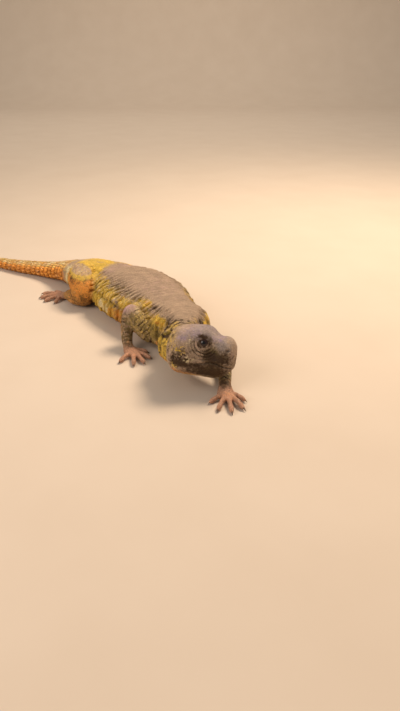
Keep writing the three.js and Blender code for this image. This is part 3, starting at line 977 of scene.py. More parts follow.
@dataclass
class Mouth:
    """The line between the lips, as head stations and heights from corner to snout.

    The cleft has a depth and a half width; a lip its height, its distance from the line
    and its reach.
    """

    line: tuple[tuple[float, float], ...] = (
        (5.7, -3.4),
        (6.6, -2.7),
        (7.6, -2.1),
        (8.6, -2.3),
        (9.6, -3.3),
        (10.5, -4.2),
        (11.2, -4.5),
    )
    front: tuple[float, float, float] = (38.8, 0, -4.4)
    cleft: tuple[float, float] = (0.8, 0.38)
    lip: tuple[float, float, float] = (0.3, 1.1, 0.6)

    def path(self, head: Head) -> np.ndarray:
        """Closely spaced points of the right half of the mouth, in the head's frame.

        Args:
            head: The head that the mouth is cut into.

        Returns:
            Points from the corner to the middle of the snout.
        """
        rows = catmull(np.array(self.line), np.linspace(0, len(self.line) - 1, 60))
        x, width, _, under = catmull(head.stations, rows[:, 0]).T
        z = rows[:, 1]
        share = (head.level_z - z) / (head.level_z - under)
        across = width * (1 - share**head.square) ** (1 / head.square)
        y = -across - head.push(x, across, z)
        return np.vstack([np.stack([x, y, z], axis=1), self.front])

    def relief(self, gap: np.ndarray) -> np.ndarray:
        """How far the lips stand out, from the distance to the line between them.

        Args:
            gap: Distances in millimetres.

        Returns:
            One height a point.
        """
        depth, half = self.cleft
        height, far, reach = self.lip
        return height * bump(gap, far, reach) - depth * bump(gap, 0, half)


@dataclass(frozen=True)
class Opening:
    """A hole in each side of the head, with a rim.

    It lies at a distance from the nape and a height, with a half length and a half
    height, leans forwards by so much a millimetre of height, and starts so far from the
    midline. The larger the power, the steeper its wall. The rim has a height, a place
    and a reach, the last two as shares of the hole's size.
    """

    at: tuple[float, float]
    size: tuple[float, float]
    lean: float
    inner: float
    depth: float
    power: int
    rim: tuple[float, float, float]

    def relief(self, local: np.ndarray) -> np.ndarray:
        """How far the skin stands out or is pressed in at each point.

        Args:
            local: Points in the head's frame.

        Returns:
            One height a point.
        """
        x, y, z = local.T
        rise = z - self.at[1]
        ahead = (x - self.at[0] - self.lean * rise) / self.size[0]
        far = np.sqrt(ahead**2 + (rise / self.size[1]) ** 2) + 9 * (np.abs(y) < self.inner)
        height, place, reach = self.rim
        return height * bump(far, place, reach) - self.depth * np.exp(-(far**self.power))


OPENINGS = {
    "nostril": Opening((36.9, 5.6), (0.85, 0.7), 0.0, 3, 1.0, 3, (0.22, 1.7, 0.5)),
    "ear": Opening((8.4, -2.6), (1.0, 3.9), 0.22, 8, 1.5, 4, (0.25, 1.45, 0.3)),
}


@dataclass
class Animal:
    """The whole lizard as forms, with its markings and the size of its scales.

    The girths are rough radii that turn a level on a form into millimetres. A form
    blends into the next over so many millimetres, and is left out below the least share.
    The regions of the coat start at a rise in radians and at places along the trunk.
    """

    trunk: Trunk = field(default_factory=lambda: Trunk("trunk", SPINE, 120, 420, samples=900))
    head: Head = field(default_factory=lambda: Head(HEAD))
    eye: Eye = field(default_factory=Eye)
    mouth: Mouth = field(default_factory=Mouth)
    wrinkles: Wrinkles = field(default_factory=Wrinkles)
    limbs: list[Limb] = field(default_factory=list)
    trunk_girth: float = 15.0
    head_girth: float = 13.0
    head_start: float = -8
    margin: float = 5
    blend: float = 1.1
    least: float = 0.02
    belly_rise: float = -0.3
    neck_start: float = 54
    tail_start: float = -88

    def __post_init__(self) -> None:
        """Gathers the limbs from their tables."""
        for side, sign in (("right", -1), ("left", 1)):
            for names in (("upper_arm", "forearm", "hand"), ("thigh", "shank", "foot")):
                full = [f"{name}_{side}" for name in names]
                sweeps = [Sweep(name, np.array(LIMB_STATIONS[name], float)) for name in full]
                digits = [Digit(*row) for row in DIGITS[full[2]]]
                hind = names[0] == "thigh"
                self.limbs.append(Limb(full[2], *sweeps, digits, sign, hind))

    def solids(self) -> list[list[np.ndarray]]:
        """The rings of every form.

        Returns:
            For each form its list of rings.
        """
        forms = [self.trunk.rings(), self.head.rings()]
        for limb in self.limbs:
            forms += [sweep.rings() for sweep in limb.sweeps()]
        return forms

    def survey(self, points: np.ndarray) -> Survey:
        """Says what each point of the surface belongs to and looks like.

        Args:
            points: Points in millimetres in the body's frame.

        Returns:
            Markings, scale spacing and height, lay of the scales, place on the atlas of
            its region and the region itself.
        """
        count = len(points)
        places: list[tuple[np.ndarray, Place, float]] = []
        everywhere = np.arange(count)
        places.append((everywhere, self.trunk.locate(points), self.trunk_girth))
        near = np.flatnonzero(self.head.to_head(points)[:, 0] > self.head_start)
        places.append((near, self.head.locate(points[near]), self.head_girth))
        owners: list[tuple[Optional[Limb], int]] = [(None, 0), (None, 1)]
        for limb in self.limbs:
            for order, sweep in enumerate(limb.sweeps()):
                widest = sweep.stations[:, 3:].max()
                low = sweep.stations[:, :3].min(0) - widest - self.margin
                high = sweep.stations[:, :3].max(0) + widest + self.margin
                near = np.flatnonzero(((points > low) & (points < high)).all(1))
                size = float(sweep.stations[:, 3].mean())
                places.append((near, sweep.locate(points[near]), size))
                owners.append((limb, order))
        gaps = np.full((len(places), count), FAR)
        for k, (near, place, size) in enumerate(places):
            gaps[k, near] = (place.level - 1) * size
        owner = gaps.argmin(0)
        shares = np.exp(-(gaps - gaps.min(0)) / self.blend)
        shares /= shares.sum(0)
        total = Survey(
            np.zeros((count, len(MARKS))),
            np.zeros(count),
            np.zeros(count),
            np.zeros((count, 3)),
            np.zeros((count, 2)),
            np.full(count, Region.BACK, dtype=object),
        )
        for k, (near, place, _) in enumerate(places):
            used = shares[k, near] > self.least
            near = near[used]
            if not len(near):
                continue
            part = Part(near, points[near], place.only(used), shares[k, near], owner[near] == k)
            limb, order = owners[k]
            if k == 0:
                self._trunk_survey(part, total)
            elif k == 1:
                self._head_survey(part, total)
            else:
                self._limb_survey(part, limb, order, total)
        total.marks = np.clip(total.marks, 0, 1)
        return total

    def _trunk_survey(self, part: Part, total: Survey) -> None:
        """Adds the trunk's share of a survey.

        Args:
            part: The points that the form has a share in.
            total: The survey that is added to.
        """
        place, share = part.place, part.share
        rows = catmull(self.trunk.stations, place.station)
        x = rows[:, 0]
        rise = side_rise(place.angle)
        deep, fine = self.wrinkles.creases(place, (rows[:, 3] + rows[:, 4]) / 2)
        crease = (0.75 * deep + 0.25 * fine) * self.wrinkles.loose(x, rise)
        total.marks[part.near] += share[:, None] * trunk_marks(part.spots, x, place, crease)
        tail = ease(x, -84, -94)
        neck = ease(x, 50, 60)
        low = ease(rise, -0.35, -0.8)
        spacing = 0.745 + 0.58 * low + 0.02 * neck + 0.35 * tail
        total.spacing[part.near] += share * spacing
        height = 0.11 + 0.05 * neck + 0.02 * low - 0.02 * ease(rise, 0.9, 1.3)
        total.height[part.near] += share * height * (1 - 0.35 * crease)
        _, forward, _, _ = self.trunk.frames(place.station)
        total.lay[part.near] -= share[:, None] * forward
        own = part.own
        kept = part.near[own]
        total.atlas[kept, 0] = (x[own] - ATLAS_START) / ATLAS_LENGTH
        total.atlas[kept, 1] = (place.angle[own] / TAU) % 1
        region = np.full(len(kept), Region.BACK, dtype=object)
        region[rise[own] < self.belly_rise] = Region.BELLY
        region[x[own] > self.neck_start] = Region.NECK
        region[x[own] < self.tail_start] = Region.TAIL
        total.region[kept] = region

    def _head_survey(self, part: Part, total: Survey) -> None:
        """Adds the head's share of a survey.

        Args:
            part: The points that the form has a share in.
            total: The survey that is added to.
        """
        local = self.head.to_head(part.spots)
        marks, spacing, height = head_marks(self.eye, local)
        share = part.share
        total.marks[part.near] += share[:, None] * marks
        total.spacing[part.near] += share * spacing
        total.height[part.near] += share * height
        total.lay[part.near] -= share[:, None] * self.head.axes[:, 0]
        own = part.own
        kept = part.near[own]
        total.atlas[kept, 0] = np.clip(local[own, 0] / HEAD_LENGTH, 0, 1)
        total.atlas[kept, 1] = (part.place.angle[own] / TAU) % 1
        total.region[kept] = Region.HEAD

    def _limb_survey(self, part: Part, limb: Limb, order: int, total: Survey) -> None:
        """Adds one limb piece's share of a survey.

        Args:
            part: The points that the form has a share in.
            limb: The limb.
            order: The piece's number from the trunk outwards.
            total: The survey that is added to.
        """
        place, share = part.place, part.share
        marks = limb_marks(part.spots, place, limb, order)
        total.marks[part.near] += share[:, None] * marks
        paw = order >= 2
        size = 0.74 if order == 2 else 0.7 if paw else 0.76
        total.spacing[part.near] += share * size
        total.height[part.near] += share * (0.12 if paw else 0.16)
        sweep = limb.sweeps()[order]
        _, forward, _, _ = sweep.frames(place.station)
        total.lay[part.near] += share[:, None] * forward
        own = part.own
        kept = part.near[own]
        total.atlas[kept, 0] = place.station[own] / sweep.last
        turn = (place.angle[own] / TAU) % 1
        total.atlas[kept, 1] = limb.strip(order) + turn * 0.9 / STRIPS
        total.region[kept] = Region.LEGS if limb.hind else Region.ARMS


def lay_patches(table: dict[str, list], spots: np.ndarray, marks: np.ndarray) -> None:
    """Adds a table's patches to markings.

    Args:
        table: For each marking its rows of place, reach and strength.
        spots: One row of coordinates a point, as many as a patch's place has.
        marks: One row of markings a point, which is added to.
    """
    width = spots.shape[1]
    for mark, rows in table.items():
        column = MARKS.index(mark)
        for row in rows:
            apart = (spots - np.array(row[:width])) / np.array(row[width:-1])
            marks[:, column] += row[-1] * np.exp(-(apart**2).sum(1))


def roughened(marks: np.ndarray, spots: np.ndarray, step: float) -> np.ndarray:
    """Markings with broken edges, which change over steps of so many millimetres.

    Args:
        marks: One row of markings a point.
        spots: Points in millimetres.
        step: The size of the breaks in millimetres.

    Returns:
        The same array of markings, changed.
    """
    for k in range(len(MARKS)):
        if marks[:, k].any():
            fine = noise(spots / step, 40 + k)
            edge = ease(marks[:, k], 0.0, 0.3)
            marks[:, k] = ease(marks[:, k] + 0.3 * fine * edge, 0.12, 0.95)
    return marks


def net(spots: np.ndarray, step: float, seed: int) -> np.ndarray:
    """A net of thin lines, 1 on them and 0 between, with meshes of about one step."""
    return ease(np.abs(noise(spots / step, seed)), 0.24, 0.06)


def trunk_marks(
    spots: np.ndarray, x: np.ndarray, place: Place, crease: np.ndarray
) -> np.ndarray:
    """Markings of tail, trunk and neck.

    Args:
        spots: Points in millimetres.
        x: Where each lies along the trunk's table.
        place: Where each lies on the trunk.
        crease: How deep in a crease of the skin each lies.

    Returns:
        One row of markings a point.
    """
    rise = side_rise(place.angle)
    marks = np.zeros((len(x), len(MARKS)))
    mark = {name: marks[:, k] for k, name in enumerate(MARKS)}
    trunk = ease(x, -92, -80)
    left = ease(np.cos(place.angle), 0.1, 0.5)
    wide = noise(spots / 9, 3)
    warped = x + 1.6 * noise(spots / 4, 4) + left * (4 + 5 * wide)
    where = np.stack([warped, rise + 0.07 * noise(spots / 4, 5)], axis=1)
    lay_patches(TRUNK_PATCHES, where, marks)
    broken = 0.75 + 0.35 * noise(spots / 5, 6)
    mark["gold"] += 0.65 * ease(rise, 1.0, 0.45) * ease(rise, -0.75, -0.4) * broken
    mark["gold"] += 0.5 * crease * ease(rise, 1.35, 1.0)
    mark["gold"] *= (
        1 - 0.45 * ease(rise, 0.55, 0.9) * (1 - ease(crease, 0.0, 0.5)) * ease(x, -50, -38)
    )
    mark["rust"] += 0.55 * bump(rise, -0.5, 0.22)
    mark["cream"] += 0.9 * ease(rise, -0.75, -1.0)
    mark["umber"] += 0.6 * ease(x, 73, 78) * net(spots, 3.2, 7)
    mark["olive"] += 0.35 * ease(x, 73, 79)
    mark["umber"] += 0.14 * ease(wide, -0.2, 0.7) * ease(rise, 0.6, 1.0)
    marks *= trunk[:, None]
    tail = 1 - trunk
    top = ease(rise, 0.5, 1.05)
    band = ease(np.sin(TAU * (place.arc + 2 * wide) / 16), 0.3, 0.9)
    red = bump(x, -112, 9) * bump(rise, 0.25, 0.5)
    mark["cream"] += tail * top * (0.45 - 0.2 * band)
    mark["gold"] += tail * 0.55 * ease(rise, 0.1, 0.6)
    mark["rust"] += tail * (0.4 + 0.45 * ease(rise, 0.75, 0.4) + 0.4 * red)
    # The dark bands across the top of the tail are markings; the umber on its lower side is painted
    # shade.
    mark["umber"] += tail * (0.35 * band * top + 0.3 * ease(rise, -0.2, -0.6))
    # Umber deep in the creases of the loose skin: partly the skin's own darker colour and partly
    # painted shade in the creases.
    mark["umber"] += (0.34 + 0.26 * ease(rise, 0.25, 0.6)) * crease
    # Cream on the ridges between the creases: partly paler skin and partly painted light where the
    # folds catch the lamp.
    ridge = (1 - crease) * ease(rise, 0.2, 0.5) * ease(rise, 1.2, 0.8) * ease(x, 50, 30)
    mark["cream"] += 0.32 * ridge * trunk
    return roughened(marks, spots, 1.3)


def head_marks(eye: Eye, local: np.ndarray) -> tuple[np.ndarray, ...]:
    """Markings, scale spacing and scale height of the head, from points in its frame.

    Args:
        eye: The eye, which the lids' markings follow.
        local: Points in the head's frame.

    Returns:
        One row of markings a point, and the scales' spacing and height.
    """
    marks = np.zeros((len(local), len(MARKS)))
    mark = {name: marks[:, k] for k, name in enumerate(MARKS)}
    x, y, z = local.T
    left = ease(y, 1, 5)
    warp = 0.5 * noise(local / 2.2, 8) + left * 0.8 * noise(local / 4, 9)
    where = np.stack([x + warp, z + 0.4 * noise(local / 2.2, 10)], axis=1)
    lay_patches(HEAD_PATCHES, where, marks)
    speck = ease(noise(local / 0.8, 11), 0.05, 0.4)
    cheek = bump(x, 13.5, 5) * bump(z, 2, 4.5)
    beads = bump(x, 17, 3.6) * bump(z, -1.8, 2.4) + 0.8 * bump(x, 34.5, 3) * bump(z, 1, 3.6)
    mark["gold"] += 1.2 * bump(x, 11.8, 3.4) * bump(z, 3.6, 2.8) * speck
    mark["cream"] += beads * speck
    mark["umber"] += cheek * 0.45 * (1 - speck) + 0.6 * ease(x, 9, 4) * net(local, 3, 12)
    mark["umber"] += 0.2 * ease(z, 7, 1) + 0.3 * bump(z, -1, 5) * net(local, 2.4, 13)
    mark["umber"] += 0.2 * ease(z, 5, 9) * ease(x, 38, 28)
    # Umber in the creases between the folds round the eye: painted shade in the creases.
    mark["umber"] += 0.48 * ease(-eye.folds(local), 0.1, 0.9)
    apart = np.hypot(x - eye.centre[0], z - eye.centre[2])
    aside = ease(np.abs(y), 5, 8)
    # A dark ring just outside the lids and dark skin in the slit: painted shade in the crease round
    # the lids and in the sunk slit.
    mark["umber"] += aside * (0.3 * bump(apart, 4.5, 0.6) + 0.6 * ease(apart, 2.7, 2.3))
    behind = ease(x - eye.centre[0], 2.0, 0.5) * ease(z - eye.centre[2], 2.4, 1)
    mark["mauve"] += aside * 0.4 * bump(apart, 3.2, 0.5) * behind
    # Umber round the lids above and in front of the eye: painted shadow of the lids.
    mark["umber"] += aside * 0.35 * bump(apart, 3.1, 0.8) * (1 - behind)
    crown = ease(z, 4, 9)
    spacing = 0.66 + 0.08 * crown - 0.1 * np.exp(-((apart / 5) ** 2))
    height = 0.14 + 0.06 * cheek - 0.03 * crown
    return roughened(marks, local, 0.8), spacing, height


def limb_marks(spots: np.ndarray, place: Place, limb: Limb, order: int) -> np.ndarray:
    """Markings of one limb piece.

    Args:
        spots: Points in millimetres.
        place: Where each lies on the piece.
        limb: The limb.
        order: The piece's number from the trunk outwards.

    Returns:
        One row of markings a point.
    """
    marks = np.zeros((len(spots), len(MARKS)))
    mark = {name: marks[:, k] for k, name in enumerate(MARKS)}
    patch = noise(spots / 2.4, 12)
    paw = order >= 2
    if paw:
        mark["flesh"] += 0.85
        mark["umber"] += 0.2 * ease(patch, 0.1, 0.7) + 0.16 * (not limb.hind)
        mark["cream"] += 0.12 * limb.hind
    elif limb.hind and order == 0:
        left = limb.side > 0
        high = spots[:, 2] + 4 * left
        outer = ease(high, 22.5, 25.5) * ease(spots[:, 1] * limb.side - 14 * left, 7.5, 11)
        front = ease(high, 24, 20)
        rim = bump(high, 21.5, 1.4)
        mark["mauve"] += 0.6 * outer
        mark["gold"] += 0.95 - 0.6 * outer - 0.3 * front
        mark["rust"] += 0.9 * front
        mark["cream"] += 0.7 * ease(place.station, 0.7, 0.1) * front + 0.3 * outer
        # The net of dark lines and the dark rim line are markings; the umber low on the thigh is
        # painted shade on its underside.
        mark["umber"] += 0.3 * net(spots, 4, 14) + 0.5 * ease(high, 16, 8) + 0.3 * rim
        mark["umber"] += 0.25 * front * ease(noise(spots / 5, 18), -0.3, 0.5)
    elif limb.hind:
        mark["gold"] += 0.5
        mark["rust"] += 0.6
        mark["umber"] += 0.4 + 0.2 * net(spots, 3, 14)
    else:
        # Dark bars across the arm: partly the arm's own bands and partly painted shadow of the rows
        # of spiny scales.
        bars = np.sin(TAU * place.arc / 2.5 + 2.2 * noise(spots / 3, 15))
        mark["gold"] += 0.4 - 0.2 * order
        mark["olive"] += 0.6
        mark["rust"] += 0.3 * order
        mark["umber"] += 0.9 * ease(bars, 0.35, 0.8) * ease(noise(spots / 5, 17), -0.6, 0.0)
    if not limb.hind:
        lay_patches(ARM_PATCHES, spots, marks)
        speck = ease(noise(spots / 0.85, 16), 0.1, 0.5)
        mark["cream"] += speck * (0.75 if limb.side > 0 and order == 1 else 0.25) * (1 - paw)
        mark["mauve"] += 0.5 * speck * (order == 1)
    return roughened(marks, spots, 1.0)


# Meshes


def linked(name: str, data: bpy.types.ID) -> bpy.types.Object:
    """A new object in the scene.

    Args:
        name: The object's name.
        data: Its mesh, light or camera.

    Returns:
        The object.
    """
    made = bpy.data.objects.new(name, data)
    bpy.context.scene.collection.objects.link(made)
    return made


def mesh_of(name: str, verts: np.ndarray, faces: np.ndarray) -> bpy.types.Object:
    """A smooth-shaded object from millimetre points and faces.

    Args:
        name: The object's name.
        verts: Points in millimetres.
        faces: Rows of three or four point numbers; a triangle among rows of four
            repeats its last.

    Returns:
        The new object, linked to the scene.
    """
    mesh = bpy.data.meshes.new(name)
    mesh.vertices.add(len(verts))
    mesh.vertices.foreach_set("co", (verts * MM).astype(np.float32).ravel())
    real = np.ones(faces.shape, dtype=bool)
    real[:, -1] = faces[:, -1] != faces[:, -2]
    loops = faces[real].astype(np.int32)
    starts = np.cumsum(real.sum(1)) - real.sum(1)
    mesh.loops.add(len(loops))
    mesh.loops.foreach_set("vertex_index", loops)
    mesh.polygons.add(len(faces))
    mesh.polygons.foreach_set("loop_start", starts.astype(np.int32))
    mesh.update(calc_edges=True)
    mesh.validate()
    mesh.shade_smooth()
    return linked(name, mesh)


def give_floats(mesh: bpy.types.Mesh, name: str, values: np.ndarray) -> None:
    """Stores one number a point under a name that the materials read."""
    layer = mesh.attributes.new(name, "FLOAT", "POINT")
    layer.data.foreach_set("value", values.astype(np.float32))


def closed_rings(rings: Sequence[np.ndarray]) -> tuple[np.ndarray, list[tuple[int, ...]]]:
    """Points and faces of a closed loft through rings of one size.

    Args:
        rings: Rings of points, from one end to the other.

    Returns:
        The points, and the faces as point numbers.
    """
    count = len(rings[0])
    faces: list[tuple[int, ...]] = []
    for r in range(len(rings) - 1):
        for k in range(count):
            a, b = r * count + k, r * count + (k + 1) % count
            faces.append((a, b, b + count, a + count))
    last = (len(rings) - 1) * count
    faces.append(tuple(reversed(range(count))))
    faces.append(tuple(range(last, last + count)))
    return np.vstack(rings), faces


def faces_object(
    name: str, verts: np.ndarray, faces: Sequence[tuple[int, ...]]
) -> bpy.types.Object:
    """A smooth-shaded object from millimetre points and faces of any size.

    Args:
        name: The object's name.
        verts: Points in millimetres.
        faces: Point numbers of each face.

    Returns:
        The new object, linked to the scene.
    """
    mesh = bpy.data.meshes.new(name)
    mesh.from_pydata([tuple(v) for v in verts * MM], [], faces)
    mesh.update()
    mesh.shade_smooth()
    return linked(name, mesh)


@dataclass
class Surface:
    """The skin's points and four-sided faces, in millimetres."""

    verts: np.ndarray
    faces: np.ndarray
    normals: np.ndarray = field(default_factory=lambda: np.zeros((0, 3)))

    def edges(self) -> np.ndarray:
        """Each edge once, as pairs of point numbers.

        Returns:
            Rows of two point numbers.
        """
        ring = np.roll(self.faces, -1, axis=1)
        pairs = np.stack([self.faces, ring], axis=2).reshape(-1, 2)
        pairs = pairs[pairs[:, 0] != pairs[:, 1]]
        pairs.sort(axis=1)
        return np.unique(pairs, axis=0)

    def smooth(self, weight: np.ndarray, rounds: int) -> None:
        """Draws points towards the mean of their neighbours, as far as weight says.

        Args:
            weight: One weight a point, 0 where it stays.
            rounds: How many times.
        """
        edges = self.edges()
        count = len(self.verts)
        degree = np.bincount(edges.ravel(), minlength=count)[:, None]
        for _ in range(rounds):
            total = np.zeros_like(self.verts)
            for axis in range(3):
                one = np.bincount(edges[:, 0], self.verts[edges[:, 1], axis], count)
                two = np.bincount(edges[:, 1], self.verts[edges[:, 0], axis], count)
                total[:, axis] = one + two
            mean = total / np.maximum(degree, 1)
            self.verts += weight[:, None] * (mean - self.verts)

    def find_normals(self) -> None:
        """Works out the outward direction at each point."""
        a, b, c, d = (self.verts[self.faces[:, k]] for k in range(4))
        facing = np.cross(c - a, d - b)
        total = np.zeros_like(self.verts)
        for k in range(4):
            for axis in range(3):
                total[:, axis] += np.bincount(
                    self.faces[:, k], facing[:, axis], len(self.verts)
                )
        self.normals = unit(total)

    def tree(self) -> BVHTree:
        """A tree for the nearest place on the surface."""
        return BVHTree.FromPolygons(self.verts.tolist(), self.faces.tolist())


@dataclass
class Skin:
    """One skin over all the flesh, with its folds, lips, nostrils and ear openings.

    Voxel is the size of the mesh's faces in millimetres. All of the skin is smoothed a
    few rounds, and the places where forms meet some rounds more.
    """

    animal: Animal
    voxel: float = 0.62
    even_rounds: int = 3
    joint_rounds: int = 14

    def rough(self) -> Surface:
        """All forms fused into one closed surface.

        Returns:
            The surface before its relief.
        """
        pieces = [
            faces_object(f"form_{k}", *closed_rings(rings))
            for k, rings in enumerate(self.animal.solids())
        ]
        whole = bmesh.new()
        for piece in pieces:
            whole.from_mesh(piece.data)
            mesh = piece.data
            bpy.data.objects.remove(piece)
            bpy.data.meshes.remove(mesh)
        mesh = bpy.data.meshes.new("fused")
        whole.to_mesh(mesh)
        whole.free()
        fused = linked("fused", mesh)
        remesh = fused.modifiers.new("fuse", "REMESH")
        remesh.mode = "VOXEL"
        remesh.voxel_size = self.voxel * MM
        graph = bpy.context.evaluated_depsgraph_get()
        made = bpy.data.meshes.new_from_object(fused.evaluated_get(graph))
        bpy.data.objects.remove(fused)
        return self._finer_head(made)

    def _finer_head(self, mesh: bpy.types.Mesh) -> Surface:
        """Cuts the head's faces in four, and gives every face as four corners.

        Args:
            mesh: The fused mesh, which is removed.

        Returns:
            The surface in millimetres.
        """
        whole = bmesh.new()
        whole.from_mesh(mesh)
        bpy.data.meshes.remove(mesh)
        edges = []
        for edge in whole.edges:
            middle = np.array((edge.verts[0].co + edge.verts[1].co) / 2 / MM)
            if self.animal.head.to_head(middle[None])[0, 0] > 1 and middle[2] > 4:
                edges.append(edge)
        bmesh.ops.subdivide_edges(whole, edges=edges, cuts=1, use_grid_fill=True)
        big = [face for face in whole.faces if len(face.verts) > 4]
        bmesh.ops.triangulate(whole, faces=big)
        whole.verts.ensure_lookup_table()
        verts = np.array([v.co[:] for v in whole.verts]) / MM
        faces = np.array([[v.index for v in (*f.verts, f.verts[-1])][:4] for f in whole.faces])
        whole.free()
        return Surface(verts, faces)

    def shaped(self) -> Surface:
        """The surface with its relief pressed in.

        Returns:
            The finished surface.
        """
        skin = self.rough()
        LOG.info("skin: %d points, %d faces", len(skin.verts), len(skin.faces))
        skin.smooth(np.full(len(skin.verts), 0.5), self.even_rounds)
        skin.smooth(self._joints(skin) * 0.5, self.joint_rounds)
        skin.find_normals()
        push = self._relief(skin.verts)
        skin.verts += skin.normals * push[:, None]
        self._sockets(skin)
        skin.verts = floored(skin.verts)
        skin.find_normals()
        return skin

    def _joints(self, skin: Surface) -> np.ndarray:
        """Where limbs run into the trunk and into each other, between 0 and 1.

        Args:
            skin: The surface.

        Returns:
            One weight a point.
        """
        points = skin.verts
        gaps = [np.abs(self.animal.trunk.locate(points).level - 1) * self.animal.trunk_girth]
        for limb in self.animal.limbs:
            for sweep in limb.sweeps()[:3]:
                gap = np.full(len(points), FAR)
                low = sweep.stations[:, :3].min(0) - 20
                high = sweep.stations[:, :3].max(0) + 20
                near = ((points > low) & (points < high)).all(1)
                size = sweep.stations[:, 3].mean()
                gap[near] = np.abs(sweep.locate(points[near]).level - 1) * size
                gaps.append(gap)
        second = np.sort(np.array(gaps), axis=0)[1]
        return ease(second, 3.2, 1.0)

    def _relief(self, points: np.ndarray) -> np.ndarray:
        """How far the skin stands out or is pressed in at each point.

        Args:
            points: Points in millimetres.

        Returns:
            Outward distances in millimetres.
        """
        animal = self.animal
        trunk = animal.trunk.locate(points)
        rows = catmull(animal.trunk.stations, trunk.station)
        x = rows[:, 0]
        rise = side_rise(trunk.angle)
        size = (rows[:, 3] + rows[:, 4]) / 2
        weight = ease(trunk.level, 1.14, 1.06) * animal.wrinkles.loose(x, rise)
        deep, fine = animal.wrinkles.creases(trunk, size)
        push = -(animal.wrinkles.depth * deep + animal.wrinkles.fine_depth * fine) * weight
        swell = np.stack([(trunk.arc + 0.3 * rise * size) / 6, rise * size / 15], axis=1)
        across = 1.3 * np.cos(trunk.angle)[:, None]
        push += (0.5 + 0.5 * bump(rise, 0.4, 0.4)) * noise(np.hstack([swell, across]), 24) * weight
        roll = ease(x, -42, -34) * ease(x, 22, 12) * weight
        push += (0.5 * bump(rise, 0.02, 0.2) - 1.3 * bump(rise, 0.31, 0.07)) * roll
        near = np.flatnonzero(animal.head.to_head(points)[:, 0] > -3)
        push[near] += self._face_relief(animal.head.to_head(points[near]))
        return push

    def _face_relief(self, local: np.ndarray) -> np.ndarray:
        """The relief of lips, nostrils, ear openings and the folds round the eyes.

        Args:
            local: Points in the head's frame.

        Returns:
            Outward distances in millimetres.
        """
        eye, mouth = self.animal.eye, self.animal.mouth
        mirrored = np.stack([local[:, 0], -np.abs(local[:, 1]), local[:, 2]], axis=1)
        path = mouth.path(self.animal.head)
        gap = np.full(len(local), FAR)
        for start in range(0, len(local), CHUNK):
            part = mirrored[start : start + CHUNK, None] - path[None]
            gap[start : start + CHUNK] = np.sqrt((part**2).sum(2)).min(1)
        push = mouth.relief(gap)
        for opening in OPENINGS.values():
            push += opening.relief(local)
        return push + eye.fold_height * eye.folds(local)

    def _sockets(self, skin: Surface) -> None:
        """Opens the skin over each eye, and wraps it close round the eyeball.

        Args:
            skin: The surface, which is changed.
        """
        local = self.animal.head.to_head(skin.verts)
        eye = self.animal.eye
        for side in (1, -1):
            centre, look, along, across = eye.frame(side)
            apart = local - centre
            far = np.linalg.norm(apart, axis=1)
            near = np.flatnonzero((far < 9) & (apart @ look > -0.5))
            part, dist = apart[near], far[near]
            way = part / dist[:, None]
            spread = eye.spread(part, along, across)
            rim = eye.radius + eye.lid
            inside = ease(spread, 1.12, 0.94)
            lid = ease(spread, 2.1, 1.15)
            wanted = dist + lid * (np.maximum(rim, dist * 0.35 + rim * 0.65) - dist)
            wanted = wanted + inside * (eye.radius - eye.sunk - wanted)
            local[near] = centre + way * wanted[:, None]
        skin.verts = self.animal.head.to_body(local)


@dataclass
class Form:
    """One scale's shape as points and triangles.

    A point's first two numbers are its places along the scale and across it.
    """

    points: np.ndarray
    faces: np.ndarray

    def build(
        self,
        name: str,
        verts: np.ndarray,
        marks: np.ndarray,
        atlas: np.ndarray,
        rng: np.random.Generator,
    ) -> bpy.types.Object:
        """Joins many scales of this shape in one object.

        Args:
            name: The object's name.
            verts: For each scale one row a point of the shape, in millimetres.
            marks: One row of markings a scale.
            atlas: One place on the atlas a scale.
            rng: Draws each scale's tint.

        Returns:
            The object, with the markings, a tint and a place on the atlas for each scale.
        """
        count, size = verts.shape[:2]
        verts = verts.reshape(-1, 3)
        verts[:, 2] = np.maximum(verts[:, 2], LIFT)
        whole = (self.faces[None] + (np.arange(count) * size)[:, None, None]).reshape(-1, 3)
        made = mesh_of(name, verts, whole)
        for k, mark in enumerate(MARKS):
            give_floats(made.data, mark, np.repeat(marks[:, k], size))
        give_floats(made.data, "tint", np.repeat(rng.random(count), size))
        spot = atlas * 0.99 + 0.005
        patch = spot[:, None] + 0.0015 * self.points[None, :, :2]
        corners = patch.reshape(-1, 2)[whole.ravel()]
        layer = made.data.uv_layers.new(name="OFBake")
        layer.data.foreach_set("uv", corners.astype(np.float32).ravel())
        return made


